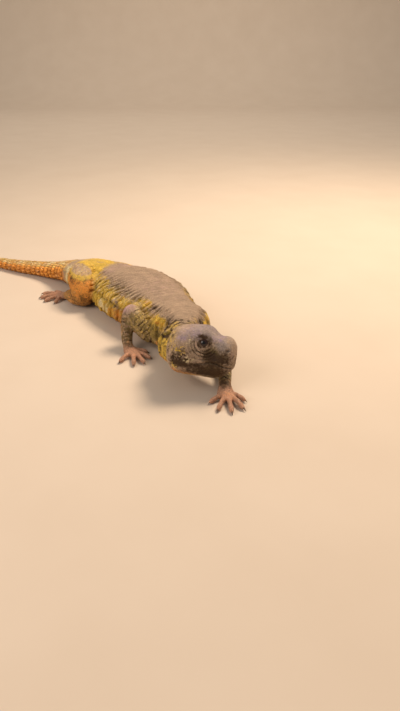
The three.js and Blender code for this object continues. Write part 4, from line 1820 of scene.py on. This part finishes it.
@dataclass
class Domes:
    """Scales as low closed domes, set on the skin at their roots.

    A dome has a top, a ring between if it is a finer one, a rim and a foot under the
    skin. The ring's two numbers are its radius and height, the others are heights.
    """

    points: np.ndarray
    normals: np.ndarray
    sizes: np.ndarray
    survey: Survey
    corners: int = 6
    ring: tuple[float, float] = (0.6, 0.78)
    rim: float = -0.35
    foot: float = -0.9

    def template(self, fine: bool) -> Form:
        """One dome of radius and height 1.

        Args:
            fine: Whether the dome has a second ring.

        Returns:
            The shape.
        """
        count = self.corners
        angle = np.arange(count) / count * TAU
        around = np.stack([np.cos(angle), np.sin(angle)], axis=1)
        rows = [[0, 0, 1.0]]
        if fine:
            share, high = self.ring
            rows += [[share * c, share * s, high] for c, s in around]
        rows += [[c, s, self.rim] for c, s in around]
        rows.append([0, 0, self.foot])
        faces = []
        for k in range(count):
            after = (k + 1) % count
            faces.append([0, 1 + k, 1 + after])
            if fine:
                outer = 1 + count
                faces.append([1 + k, outer + k, outer + after])
                faces.append([1 + k, outer + after, 1 + after])
            rim = 1 + count * fine
            faces.append([rim + k, rim + count, rim + after])
        return Form(np.array(rows), np.array(faces))

    def build(self, name: str, fine: bool, rng: np.random.Generator) -> bpy.types.Object:
        """All domes joined in one object.

        Args:
            name: The object's name.
            fine: Whether each dome has a second ring.
            rng: Draws each scale's tint and turn.

        Returns:
            The object, with the markings and a place on the atlas for each scale.
        """
        form = self.template(fine)
        shape, count = form.points, len(self.points)
        lay = self.survey.lay - (self.survey.lay * self.normals).sum(1)[:, None] * self.normals
        lay = unit(lay)
        side = np.cross(self.normals, lay)
        height = self.survey.height * (0.85 + 0.3 * rng.random(count))
        stretch = 1.05 + 0.15 * rng.random(count)
        verts = self.points[:, None, :] + (
            shape[None, :, 0, None] * (self.sizes * stretch)[:, None, None] * lay[:, None]
            + shape[None, :, 1, None] * self.sizes[:, None, None] * side[:, None]
            + shape[None, :, 2, None] * height[:, None, None] * self.normals[:, None]
        )
        return form.build(name, verts, self.survey.marks, self.survey.atlas, rng)


class Coat:
    """Scales scattered evenly over the skin, region by region.

    A scale takes up a share of the square of its spacing, spots are tried so many times
    over, and those kept stand at least a share of the spacing apart. Rows of scales
    follow the lips at two heights, a step apart, and circle the lids at multiples of
    the slit's size, so many in a row; the row gap is the square of the least distance
    between them. Then each scale is drawn away from its nearer neighbours. A dome's
    half width is a share of the gaps round it, within limits.
    """

    packing: float = 0.866
    tries: int = 5
    least: float = 0.84
    lip_heights: tuple[float, ...] = (0.78, -0.78)
    lip_step: float = 0.92
    lid_rows: tuple[tuple[float, int], ...] = ((1.2, 26), (1.44, 30), (1.7, 32))
    row_gap: float = 0.16
    neighbours: int = 6
    nearest: int = 5
    pull: float = 0.4
    half: float = 0.6
    half_limits: tuple[float, float] = (0.25, 1.3)
    lowest: float = 0.3

    def __init__(self, animal: Animal, skin: Surface, survey: Survey) -> None:
        """Remembers the skin and what is known of its points.

        Args:
            animal: The animal.
            skin: The skin's surface.
            survey: What the animal says of the skin's points.
        """
        self.animal = animal
        self.skin = skin
        self.survey = survey
        self.tree = skin.tree()
        self.rng = np.random.default_rng(SEED)

    def scatter(self, region: Region) -> tuple[np.ndarray, int]:
        """Roots of one region's scales, and how many of the first stand in rows.

        Args:
            region: The region.

        Returns:
            The points in millimetres, those in rows first, and the number of those.
        """
        faces = self.skin.faces
        first = faces[:, 0]
        chosen = np.flatnonzero(self.survey.region[first] == region)
        a, b, c, d = (self.skin.verts[faces[chosen, k]] for k in range(4))
        area = np.linalg.norm(np.cross(c - a, d - b), axis=1) / 2
        spacing = np.maximum(self.survey.spacing[first[chosen]], 0.5)
        weight = area / (self.packing * spacing**2)
        count = int(self.tries * weight.sum())
        pick = self.rng.choice(len(chosen), count, p=weight / weight.sum())
        s, t = self.rng.random((2, count, 1))
        low = a[pick] * (1 - s) + b[pick] * s
        high = d[pick] * (1 - s) + c[pick] * s
        spots = low * (1 - t) + high * t
        limits = (self.least * spacing[pick]) ** 2
        rows = self._rows() if region == Region.HEAD else np.zeros((0, 3))
        limits = np.concatenate([np.full(len(rows), self.row_gap), limits])
        return self._thin(np.vstack([rows, spots]), limits), len(rows)

    def _rows(self) -> np.ndarray:
        """Roots of the scales that stand in rows along the lips and round the lids.

        Returns:
            Points on the skin, in millimetres.
        """
        head, eye = self.animal.head, self.animal.eye
        path = self.animal.mouth.path(head)
        arc = np.concatenate([[0], np.cumsum(np.linalg.norm(np.diff(path, axis=0), axis=1))])
        steps = np.arange(0.4, arc[-1], self.lip_step)
        lip = np.stack([np.interp(steps, arc, path[:, axis]) for axis in range(3)], axis=1)
        rows = []
        for side in (1, -1):
            for height in self.lip_heights:
                rows.append(lip * np.array([1, side, 1]) + np.array([0, 0, height]))
            centre, look, along, across = eye.frame(side)
            for scale, count in self.lid_rows:
                turn = np.arange(count) / count * TAU
                ring = np.cos(turn)[:, None] * eye.opening[0] * along
                ring = ring + np.sin(turn)[:, None] * eye.opening[1] * across
                rows.append(centre + scale * ring + 2.2 * look)
        found = [self.tree.find_nearest(spot)[0] for spot in head.to_body(np.vstack(rows)).tolist()]
        return np.array(found)

    def _thin(self, spots: np.ndarray, limits: np.ndarray) -> np.ndarray:
        """Keeps spots further from those kept before than the square root of a limit.

        Args:
            spots: The points, in the order in which they are tried.
            limits: The square of each spot's least distance.

        Returns:
            The spots that are kept.
        """
        cell = math.sqrt(limits.max())
        grid: dict[tuple[int, int, int], list[tuple[float, float, float]]] = {}
        keys = np.floor(spots / cell).astype(int).tolist()
        around = list(product((-1, 0, 1), repeat=3))
        kept: list[int] = []
        for k, ((i, j, m), (x, y, z), limit) in enumerate(zip(keys, spots.tolist(), limits)):
            clear = True
            for di, dj, dm in around:
                for px, py, pz in grid.get((i + di, j + dj, m + dm), ()):
                    if (px - x) ** 2 + (py - y) ** 2 + (pz - z) ** 2 < limit:
                        clear = False
                        break
                if not clear:
                    break
            if clear:
                grid.setdefault((i, j, m), []).append((x, y, z))
                kept.append(k)
        return spots[kept]

    def settle(self, spots: np.ndarray, fixed: int, rounds: int = 2) -> tuple[np.ndarray, ...]:
        """Evens out spots on the skin.

        Args:
            spots: Roots of scales, which are moved.
            fixed: How many of the first ones stay where they are.
            rounds: How often the others are drawn apart.

        Returns:
            The roots, the skin's normals there and the mean gap to the next ones.
        """
        gaps = np.zeros(len(spots))
        normals = np.zeros_like(spots)
        for step in range(rounds + 1):
            tree = KDTree(len(spots))
            for k, spot in enumerate(spots.tolist()):
                tree.insert(spot, k)
            tree.balance()
            moved = spots.copy()
            for k, spot in enumerate(spots.tolist()):
                found = tree.find_n(spot, self.neighbours + 1)[1:]
                mean = sum(f[2] for f in found[: self.nearest]) / self.nearest
                gaps[k] = mean
                if step == rounds or k < fixed:
                    continue
                push = np.zeros(3)
                for place, _, gap in found:
                    if gap < mean:
                        push += (spots[k] - np.array(place)) * (mean - gap) / max(gap, 1e-3)
                moved[k] += self.pull * push
            for k, spot in enumerate(moved.tolist()):
                place, normal, _, _ = self.tree.find_nearest(spot)
                spots[k] = place
                normals[k] = normal
        even = normals.copy()
        for k, spot in enumerate(spots.tolist()):
            for _, other, gap in tree.find_n(spot, self.neighbours + 1)[1:]:
                if gap < 2 * gaps[k]:
                    even[k] += self.pull * normals[other]
        return spots, unit(even), gaps

    def region(self, region: Region, fine: bool) -> bpy.types.Object:
        """One region's coat as an object.

        Args:
            region: The region.
            fine: Whether its domes are finer ones.

        Returns:
            The new object, linked to the scene.
        """
        spots, fixed = self.scatter(region)
        spots, normals, gaps = self.settle(spots, fixed)
        survey = self.animal.survey(spots)
        clear = (spots[:, 2] > self.lowest) & self._outside_eyes(spots)
        spots, normals, gaps = spots[clear], normals[clear], gaps[clear]
        sizes = np.clip(self.half * gaps, *self.half_limits)
        domes = Domes(spots, normals, sizes, survey.only(clear))
        made = domes.build(f"scales_{region.value}", fine, self.rng)
        LOG.info("%s: %d scales, %d triangles", made.name, len(spots), len(made.data.polygons))
        return made

    def _outside_eyes(self, spots: np.ndarray) -> np.ndarray:
        """Which spots don't lie in the slit between the lids.

        Args:
            spots: Points in millimetres.

        Returns:
            True for each spot that may carry a scale.
        """
        local = self.animal.head.to_head(spots)
        clear = np.ones(len(spots), dtype=bool)
        eye = self.animal.eye
        for side in (1, -1):
            centre, look, along, across = eye.frame(side)
            apart = local - centre
            spread = eye.spread(apart, along, across)
            clear &= ~((spread < 1.08) & (apart @ look > 0) & (np.linalg.norm(apart, axis=1) < 6))
        return clear


def eyeball(animal: Animal, side: int, name: str) -> bpy.types.Object:
    """One eyeball with its pole where it looks, and each point's turn from that pole.

    Args:
        animal: The animal.
        side: -1 for the right side and 1 for the left.
        name: The object's name.

    Returns:
        The new object, linked to the scene.
    """
    eye = animal.eye
    centre, look, along, across = eye.frame(side)
    rows, count, cap = 36, 48, 0.02
    turns = np.linspace(cap, math.pi - cap, rows)
    rings = []
    for turn in turns[::-1]:
        angle = np.arange(count) / count * TAU
        out = math.sin(turn) * (
            np.cos(angle)[:, None] * along + np.sin(angle)[:, None] * across
        )
        local = centre + eye.radius * (math.cos(turn) * look + out)
        rings.append(animal.head.to_body(local))
    made = faces_object(name, *closed_rings(rings))
    give_floats(made.data, "gaze", np.repeat(turns[::-1], count))
    return made


@dataclass
class Claws:
    """The horn claws of one paw, curved down to the ground."""

    limb: Limb
    start: float = 0.72
    bend: tuple[tuple[float, float, float], ...] = (
        (0.0, 1.5, 0.46),
        (0.14, 1.6, 0.47),
        (0.32, 1.6, 0.38),
        (0.52, 1.3, 0.27),
        (0.68, 0.9, 0.17),
        (0.8, 0.4, 0.06),
    )
    sides: int = 10

    def build(self) -> bpy.types.Object:
        """All claws of the paw joined in one object.

        Returns:
            The new object, linked to the scene.
        """
        verts: list[np.ndarray] = []
        faces: list[tuple[int, ...]] = []
        total = 0
        for digit in self.limb.digits:
            points, quads = closed_rings(self._rings(digit))
            verts.append(points)
            faces += [tuple(k + total for k in face) for face in quads]
            total += len(points)
        made = faces_object(f"claws_{self.limb.name}", np.vstack(verts), faces)
        shares = [share for share, _, _ in self.bend for _ in range(self.sides)]
        give_floats(made.data, "tip", np.array(shares * len(self.limb.digits)))
        return made

    def _rings(self, digit: Digit) -> list[np.ndarray]:
        """The rings of one claw.

        Args:
            digit: The digit that the claw ends.

        Returns:
            The rings, each an array of points.
        """
        side = np.cross(UP, digit.along)
        rings = []
        for share, height, scale in self.bend:
            reach = self.start + share * (1 - self.start)
            at = digit.at(reach, height)
            angle = np.arange(self.sides) / self.sides * TAU
            size = digit.radius * scale
            across = 0.85 * size * np.cos(angle)[:, None] * side
            high = 1.15 * size * np.sin(angle)[:, None] * UP
            rings.append(floored(at + across + high))
        return rings


# One pointed scale: along, aside and out in shares of length, half width and height; the
# last number is the share of the rise that the point takes.
SPIKE = Form(
    np.array(
        [
            [-0.55, 0, -0.6, 0],
            [-0.35, 0.8, -0.35, 0],
            [0.25, 1, -0.3, 0],
            [0.45, 0, -0.9, 0],
            [0.25, -1, -0.3, 0],
            [-0.35, -0.8, -0.35, 0],
            [-0.3, 0, 0.55, 0],
            [0.15, 0, 1, 0.25],
            [0.1, 0.5, 0.45, 0.1],
            [0.1, -0.5, 0.45, 0.1],
            [0.62, 0, 0.75, 0.72],
            [1, 0, 0.55, 1],
        ]
    ),
    np.array(
        [
            [0, 6, 1], [1, 6, 8], [1, 8, 2], [6, 7, 8], [0, 5, 6], [5, 9, 6], [5, 4, 9],
            [6, 9, 7], [7, 10, 8], [8, 10, 2], [7, 9, 10], [9, 4, 10], [10, 11, 2],
            [10, 4, 11], [2, 11, 3], [3, 11, 4], [0, 1, 3], [1, 2, 3], [0, 3, 5],
            [3, 4, 5],
        ]
    ),
)


@dataclass
class Spikes:
    """Keeled scales that end in a point, joined in one piece."""

    roots: list[np.ndarray] = field(default_factory=list)
    outward: list[np.ndarray] = field(default_factory=list)
    lay: list[np.ndarray] = field(default_factory=list)
    shape: list[tuple[float, float, float, float]] = field(default_factory=list)
    atlas: list[tuple[float, float]] = field(default_factory=list)

    def add(
        self,
        root: np.ndarray,
        outward: np.ndarray,
        lay: np.ndarray,
        shape: tuple[float, float, float, float],
        atlas: tuple[float, float],
    ) -> None:
        """Adds one spike.

        Args:
            root: Its place in millimetres.
            outward: The way out of the skin there.
            lay: The way that it points.
            shape: Its length, half width, height and rise in millimetres.
            atlas: Its place on the atlas.
        """
        self.roots.append(root)
        self.outward.append(outward)
        self.lay.append(lay)
        self.shape.append(shape)
        self.atlas.append(atlas)

    def build(self, name: str, animal: Animal, rng: np.random.Generator) -> bpy.types.Object:
        """The joined piece, with markings from the animal at each root.

        Args:
            name: The object's name.
            animal: The animal.
            rng: Draws each spike's tint.

        Returns:
            The new object, linked to the scene.
        """
        roots, outward = np.array(self.roots), np.array(self.outward)
        lay = np.array(self.lay)
        lay = unit(lay - (lay * outward).sum(1)[:, None] * outward)
        side = np.cross(outward, lay)
        length, half, height, rise = np.array(self.shape).T
        form = SPIKE.points
        out = form[None, :, 2] * height[:, None] + form[None, :, 3] * rise[:, None]
        verts = roots[:, None] + (
            (form[None, :, 0] * length[:, None])[..., None] * lay[:, None]
            + (form[None, :, 1] * half[:, None])[..., None] * side[:, None]
            + out[..., None] * outward[:, None]
        )
        marks = animal.survey(roots).marks
        made = SPIKE.build(name, verts, marks, np.array(self.atlas), rng)
        give_floats(made.data, "tip", np.tile(form[:, 3], len(roots)))
        return made


@dataclass
class TailArmour:
    """Whorls of spiny scales round the tail."""

    first: float = -91.5
    pitch: float = 5.2
    whorls: int = 22
    around: int = 20
    long: float = 5.4
    short: float = 4.8

    def build(self, animal: Animal, rng: np.random.Generator) -> bpy.types.Object:
        """All whorls in one object.

        Args:
            animal: The animal.
            rng: Draws the small differences.

        Returns:
            The new object, linked to the scene.
        """
        spikes = Spikes()
        trunk = animal.trunk
        for k in range(self.whorls):
            share = k / self.whorls
            x = self.first - k * self.pitch
            u = float(np.interp(x, trunk.stations[:, 0], np.arange(len(trunk.stations))))
            count = max(9, round(self.around * (1 - 0.5 * share)))
            size = 1 - 0.42 * share
            turn = (np.arange(count) + 0.5 * (k % 2)) / count * TAU
            stations = np.full(count, u)
            roots = trunk.points(stations, turn)
            ahead = trunk.points(stations + STEP, turn) - trunk.points(stations - STEP, turn)
            beside = trunk.points(stations, turn + STEP) - trunk.points(stations, turn - STEP)
            outward = unit(np.cross(ahead, beside))
            rows = catmull(trunk.stations, stations)
            girth = math.pi * (rows[0, 3] + (rows[0, 4] + rows[0, 5]) / 2)
            for n in range(count):
                wide = abs(math.cos(turn[n]))
                low = math.sin(turn[n]) < -0.45
                length = size * (self.short + (self.long - self.short) * wide)
                length *= 0.94 + 0.12 * rng.random()
                rise = 0.1 if low else size * (1.2 + 1.5 * wide) * (0.9 + 0.2 * rng.random())
                half = 0.56 * girth / count
                shape = (length, half, 0.28 if low else 0.62 * size, rise)
                along = (x - ATLAS_START) / ATLAS_LENGTH
                atlas = (float(along), float(turn[n] / TAU % 1))
                spikes.add(roots[n], outward[n], -ahead[n], shape, atlas)
        return spikes.build("tail_spines", animal, rng)


@dataclass
class LegSpines:
    """Rows of pointed scales down the rear of each hind leg."""

    length: float = 1.7
    half: float = 0.85
    rows: tuple[float, ...] = (-0.6, -0.3, 0.0, 0.3, 0.6)

    def build(self, animal: Animal, rng: np.random.Generator) -> bpy.types.Object:
        """The rows of both hind legs in one object.

        Args:
            animal: The animal.
            rng: Draws the small differences.

        Returns:
            The new object, linked to the scene.
        """
        spikes = Spikes()
        for limb in animal.limbs:
            if not limb.hind:
                continue
            rear = math.pi if limb.side < 0 else 0.0
            for order, (sweep, middle, start, scale) in enumerate(
                ((limb.upper, rear, 0.0, 1.0), (limb.lower, math.pi - rear, 0.6, 0.5))
            ):
                for row in self.rows[order : len(self.rows) - order]:
                    for k in range(6 - 2 * order):
                        u = start + 0.2 * k + 0.1 * (round(row / 0.3) % 2) + 0.04 * rng.random()
                        turn = np.array([middle + row])
                        at = np.array([min(u, 2.6)])
                        root = sweep.points(at, turn)[0]
                        _, forward, side, up = (v[0] for v in sweep.frames(at))
                        outward = unit(math.cos(turn[0]) * side + math.sin(turn[0]) * up)
                        size = scale * (0.75 + 0.25 * rng.random())
                        shape = (self.length * size, self.half * size, 0.8 * size, 1.3 * size)
                        around = 0.9 * float(turn[0] / TAU % 1) / STRIPS
                        atlas = (u / 3, limb.strip(order) + around)
                        if self._clear(animal, root, limb, order):
                            spikes.add(root, outward, forward, shape, atlas)
        return spikes.build("leg_spines", animal, rng)

    def _clear(self, animal: Animal, root: np.ndarray, limb: Limb, order: int) -> bool:
        """Whether a root lies outside the trunk and the leg's other pieces.

        Args:
            animal: The animal.
            root: The root in millimetres.
            limb: The limb.
            order: The piece's number from the trunk outwards.

        Returns:
            True if nothing else covers it.
        """
        point = root[None]
        others = [animal.trunk, *(s for k, s in enumerate(limb.sweeps()[:3]) if k != order)]
        return all(float(form.locate(point).level[0]) > 1.08 for form in others)


# Finishes


Socket = bpy.types.NodeSocket


class Nodes:
    """A new material, and the nodes that give it its colour."""

    def __init__(self, name: str) -> None:
        """Makes the material, and finds its shader and the object's coordinates.

        Args:
            name: The material's name.
        """
        self.material = bpy.data.materials.new(name)
        self.material.use_nodes = True
        self.tree = self.material.node_tree
        self.shader = self.tree.nodes["Principled BSDF"]
        self.place = self.add("TexCoord", "Object", {}, {})

    def add(self, kind: str, out: str | int, settings: dict, links: dict) -> Socket:
        """Adds a node with its settings and links.

        Args:
            kind: The node's type name, without the prefix that all share.
            out: The output that is used, by name or number.
            settings: Properties by name, and inputs by name or number.
            links: Inputs by name or number, each with the output socket that feeds it.

        Returns:
            The node's output socket.
        """
        node = self.tree.nodes.new(f"ShaderNode{kind}")
        for key, value in settings.items():
            if isinstance(key, str) and hasattr(node, key):
                setattr(node, key, value)
            else:
                node.inputs[key].default_value = value
        for key, socket in links.items():
            self.tree.links.new(socket, node.inputs[key])
        return node.outputs[out]

    def finish(self, colour: Socket, settings: dict[str, float]) -> bpy.types.Material:
        """Gives the shader its colour and its other settings.

        Args:
            colour: The colour's socket.
            settings: The shader's inputs by name.

        Returns:
            The finished material.
        """
        self.tree.links.new(colour, self.shader.inputs["Base Color"])
        for key, value in settings.items():
            self.shader.inputs[key].default_value = value
        return self.material


@dataclass(frozen=True)
class Hide:
    """Reptile hide of dry keratin: dull, with a soft sheen.

    The colours are the bare skin and one for each marking, laid over one another in
    this order. Grain is the width of the finest pits in millimetres.
    """

    bare: str = "#b0957c"
    slate: str = "#98887f"
    lilac: str = "#9a8496"
    mauve: str = "#c09c90"
    flesh: str = "#bd8c70"
    # Gold, cream, lilac and mauve also serve for a few patches of painted light, and umber for
    # painted shade in creases, hollows and under the limbs.
    gold: str = "#e2bb4c"
    rust: str = "#de9038"
    cream: str = "#efdcaa"
    olive: str = "#6b5a2c"
    umber: str = "#422b11"
    point: str = "#e0bd88"
    roughness: float = 0.62
    ior: float = 1.5
    specular: float = 0.35
    grain: float = 0.35

    def material(self, name: str, scales: bool) -> bpy.types.Material:
        """The hide's material; on scales each scale also has a tint of its own.

        Args:
            name: The material's name.
            scales: Whether it is for scales rather than skin.

        Returns:
            The new material.
        """
        nodes = Nodes(name)
        broad = {"Scale": 1 / (6 * MM), "Detail": 3.0}
        blotch = nodes.add("TexNoise", "Fac", broad, {"Vector": nodes.place})
        shares = [nodes.add("Attribute", "Fac", {"attribute_name": mark}, {}) for mark in MARKS]
        codes = [getattr(self, mark) for mark in MARKS]
        if scales:
            tip = nodes.add("Attribute", "Fac", {"attribute_name": "tip"}, {})
            shares.append(nodes.add("Math", 0, {"operation": "MULTIPLY", 1: 0.65}, {0: tip}))
            codes.append(self.point)
        layer, links = {"data_type": "RGBA", 6: linear_rgb(self.bare)}, {}
        for share, code in zip(shares, codes):
            layer[7], links[0] = linear_rgb(code), share
            links[6] = nodes.add("Mix", 2, layer, links)
        spread = {"From Min": 0.3, "From Max": 0.7, "To Min": 0.84, "To Max": 1.12}
        shade = nodes.add("MapRange", "Result", spread, {"Value": blotch})
        if scales:
            tint = nodes.add("Attribute", "Fac", {"attribute_name": "tint"}, {})
            varied = {"operation": "MULTIPLY_ADD", 1: 0.3}
            shade = nodes.add("Math", 0, varied, {0: tint, 2: shade})
            shade = nodes.add("Math", 0, {"operation": "SUBTRACT", 1: 0.15}, {0: shade})
        else:
            # The bare skin between the scales is darker: painted shade in the crevices between the
            # scales.
            shade = nodes.add("Math", 0, {"operation": "MULTIPLY", 1: 0.72}, {0: shade})
        neutral = {"Saturation": 1.0, "Hue": 0.5}
        shaded = {"Value": shade, "Color": links[6]}
        colour = nodes.add("HueSaturation", "Color", neutral, shaded)
        pitted = {"feature": "F1", "Scale": 1 / (self.grain * 2 * MM)}
        pits = nodes.add("TexVoronoi", "Distance", pitted, {"Vector": nodes.place})
        slight = {"Strength": 0.25, "Distance": 0.1 * MM}
        relief = nodes.add("Bump", "Normal", slight, {"Height": pits})
        nodes.tree.links.new(relief, nodes.shader.inputs["Normal"])
        return nodes.finish(
            colour,
            {"Roughness": self.roughness, "IOR": self.ior, "Specular IOR Level": self.specular},
        )


@dataclass(frozen=True)
class Horn:
    """Claw horn: dark and smooth, and darker towards the point."""

    root: str = "#8a6a4c"
    point: str = "#4a3626"
    roughness: float = 0.38
    ior: float = 1.54

    def material(self) -> bpy.types.Material:
        """The claws' material.

        Returns:
            The new material.
        """
        nodes = Nodes("horn_claw")
        fibrous = {"Scale": 1 / (0.8 * MM), "Detail": 4.0}
        streak = nodes.add("TexNoise", "Fac", fibrous, {"Vector": nodes.place})
        tip = nodes.add("Attribute", "Fac", {"attribute_name": "tip"}, {})
        share = nodes.add("Math", 0, {"operation": "MULTIPLY_ADD", 1: 0.5}, {0: streak, 2: tip})
        ends = {"data_type": "RGBA", 6: linear_rgb(self.root), 7: linear_rgb(self.point)}
        colour = nodes.add("Mix", 2, ends, {0: share})
        return nodes.finish(colour, {"Roughness": self.roughness, "IOR": self.ior})


@dataclass(frozen=True)
class WetEye:
    """A wet eyeball: a black pupil in a dark brown iris under a clear, glossy coat.

    The turns are angles from the pole in radians, and the blurs how wide the edges are.
    """

    pupil: str = "#050404"
    iris: str = "#2c130d"
    white: str = "#170b08"
    pupil_turn: float = 0.42
    pupil_blur: float = 0.05
    iris_turn: float = 0.8
    iris_blur: float = 0.1
    roughness: float = 0.12
    ior: float = 1.34
    coat: float = 0.4
    coat_roughness: float = 0.03

    def material(self) -> bpy.types.Material:
        """The eyes' material, coloured by each point's turn from the pole.

        Returns:
            The new material.
        """
        nodes = Nodes("wet_eye")
        flecked = {"Scale": 1 / (0.4 * MM), "Detail": 3.0}
        fleck = nodes.add("TexNoise", "Fac", flecked, {"Vector": nodes.place})
        gaze = nodes.add("Attribute", "Fac", {"attribute_name": "gaze"}, {})
        turn = nodes.add("Math", 0, {"operation": "MULTIPLY_ADD", 1: 0.12}, {0: fleck, 2: gaze})
        ramp = nodes.tree.nodes.new("ShaderNodeValToRGB")
        bands = (
            (0.0, self.pupil),
            (self.pupil_turn, self.pupil),
            (self.pupil_turn + self.pupil_blur, self.iris),
            (self.iris_turn, self.iris),
            (self.iris_turn + self.iris_blur, self.white),
        )
        elements = ramp.color_ramp.elements
        while len(elements) < len(bands):
            elements.new(0.5)
        for element, (spot, code) in zip(elements, bands):
            element.position = spot
            element.color = linear_rgb(code)
        nodes.tree.links.new(turn, ramp.inputs["Fac"])
        settings = {
            "Roughness": self.roughness,
            "IOR": self.ior,
            "Coat Weight": self.coat,
            "Coat Roughness": self.coat_roughness,
        }
        return nodes.finish(ramp.outputs["Color"], settings)


@dataclass(frozen=True)
class PaleFloor:
    """A plain matt studio floor."""

    colour: str = "#d3c3b3"
    shade: str = "#cab9a8"
    roughness: float = 0.9

    def material(self) -> bpy.types.Material:
        """The floor's material, with the faintest mottling.

        Returns:
            The new material.
        """
        nodes = Nodes("matt_floor")
        clouded = {"Scale": 1 / (60 * MM), "Detail": 4.0}
        cloud = nodes.add("TexNoise", "Fac", clouded, {"Vector": nodes.place})
        ends = {"data_type": "RGBA", 6: linear_rgb(self.colour), 7: linear_rgb(self.shade)}
        colour = nodes.add("Mix", 2, ends, {0: cloud})
        return nodes.finish(colour, {"Roughness": self.roughness})


@dataclass
class Studio:
    """Camera, floor and soft lights.

    The camera's place is in millimetres. The floor's sizes are metres: its half width,
    how far behind the lizard it starts to sweep up, the bend's radius and its top.
    """

    camera_at: tuple[float, float, float] = (301.1, -226.0, 170.0)
    heading: tuple[float, float, float] = (-0.6395, 0.6043, -0.4756)
    focal_px: float = 558.0
    frame_px: tuple[int, int] = (400, 711)
    sensor: float = 36.0
    room: float = 0.35
    floor_half: float = 6.0
    sweep_start: float = 1.8
    sweep_radius: float = 0.5
    sweep_top: float = 1.0
    right: np.ndarray = field(default_factory=lambda: np.array([0.687, 0.727, 0.0]))
    away: np.ndarray = field(default_factory=lambda: np.array([-0.727, 0.687, 0.0]))

    def build(self) -> None:
        """Makes the camera, the floor and the lights."""
        self._camera()
        self._floor()
        aim = np.array([20.0, -5, 10])
        key = aim + 330 * self.right + 250 * self.away + 620 * UP
        self._light("key", key, aim, 6.6, 240, "#ffe9cd")
        fill = aim - 420 * self.right - 300 * self.away + 330 * UP
        self._light("fill", fill, aim, 1.8, 420, "#fff2e6")
        behind = 1250 * self.away + 1300 * UP
        self._light("backdrop", behind, 2000 * self.away + 100 * UP, 13, 1300, "#fff0dc")
        world = bpy.data.worlds.new("soft_room")
        bpy.context.scene.world = world
        world.use_nodes = True
        ground = world.node_tree.nodes["Background"]
        ground.inputs["Color"].default_value = linear_rgb("#f3eee6")
        ground.inputs["Strength"].default_value = self.room
        bpy.context.scene.view_settings.view_transform = "Standard"

    def _camera(self) -> None:
        """Places the camera so that a focal length in pixels fits the frame."""
        data = bpy.data.cameras.new("camera")
        data.sensor_fit = "VERTICAL"
        data.sensor_height = self.sensor
        data.lens = self.focal_px / self.frame_px[1] * self.sensor
        data.clip_start = 0.01
        camera = linked("camera", data)
        camera.location = Vector(self.camera_at) * MM
        camera.rotation_euler = Vector(self.heading).to_track_quat("-Z", "Y").to_euler()
        bpy.context.scene.camera = camera

    def _floor(self) -> None:
        """Lays the floor, which sweeps up far behind the lizard."""
        half, start, radius = self.floor_half, self.sweep_start, self.sweep_radius
        bend = [
            (start + radius * math.sin(turn), radius - radius * math.cos(turn))
            for turn in np.linspace(0, math.pi / 2, 17)
        ]
        wall, margin = start + radius, 0.05
        before, after = (start - margin, 0.0), (wall, radius + margin)
        profile = [(-half, 0.0), before, *bend, after, (wall, self.sweep_top)]
        corners = [
            tuple(far * self.away + side * self.right + high * UP)
            for far, high in profile
            for side in (-half, half)
        ]
        strips = [(2 * k, 2 * k + 1, 2 * k + 3, 2 * k + 2) for k in range(len(profile) - 1)]
        mesh = bpy.data.meshes.new("floor")
        mesh.from_pydata(corners, [], strips)
        mesh.shade_smooth()
        floor = linked("floor", mesh)
        mesh.materials.append(PaleFloor().material())

    def _light(
        self, name: str, at: np.ndarray, aim: np.ndarray, power_w: float, size: float, code: str
    ) -> None:
        """Adds one soft square light, aimed at a point.

        Args:
            name: The light's name.
            at: Its place in millimetres.
            aim: The point that it faces, in millimetres.
            power_w: Its power in watts.
            size: Its side in millimetres.
            code: Its colour in hex.
        """
        data = bpy.data.lights.new(name, "AREA")
        data.energy = power_w
        data.size = size * MM
        data.color = linear_rgb(code)[:3]
        light = linked(name, data)
        light.location = Vector(at) * MM
        light.rotation_euler = Vector(aim - at).to_track_quat("-Z", "Y").to_euler()


def dress(piece: bpy.types.Object, material: bpy.types.Material) -> None:
    """Gives a piece its material and the body that it rides on.

    Args:
        piece: The object.
        material: Its material.
    """
    piece.data.materials.clear()
    piece.data.materials.append(material)
    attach(piece, BODY)
    LOG.info("%s: %d faces", piece.name, len(piece.data.polygons))


def main() -> None:
    """Builds the lizard around its solids."""
    logging.basicConfig(level=logging.INFO, format="%(name)s %(message)s")
    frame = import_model()
    Studio().build()
    animal = Animal()
    rng = np.random.default_rng(SEED + 1)

    surface = Skin(animal).shaped()
    skin = mesh_of("skin", surface.verts, surface.faces)
    survey = animal.survey(surface.verts)
    for k, mark in enumerate(MARKS):
        give_floats(skin.data, mark, survey.marks[:, k])
    hide = Hide()
    dress(skin, hide.material("reptile_hide", False))
    eyes = ("eye_right", "eye_left")
    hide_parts(*(name for name in sorted(frame["nodes"]) if name not in eyes))

    scale_hide = hide.material("keratin_scales", True)
    coat = Coat(animal, surface, survey)
    for region in Region:
        piece = coat.region(region, region in (Region.HEAD, Region.ARMS))
        dress(piece, scale_hide)
    dress(TailArmour().build(animal, rng), scale_hide)
    dress(LegSpines().build(animal, rng), scale_hide)

    wet = WetEye().material()
    for name, side in (("eye_right", -1), ("eye_left", 1)):
        ball = eyeball(animal, side, f"{name}_ball")
        dress(ball, wet)
        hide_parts(name)
    horn = Horn().material()
    for limb in animal.limbs:
        dress(Claws(limb).build(), horn)


if __name__ == "__main__":
    main()
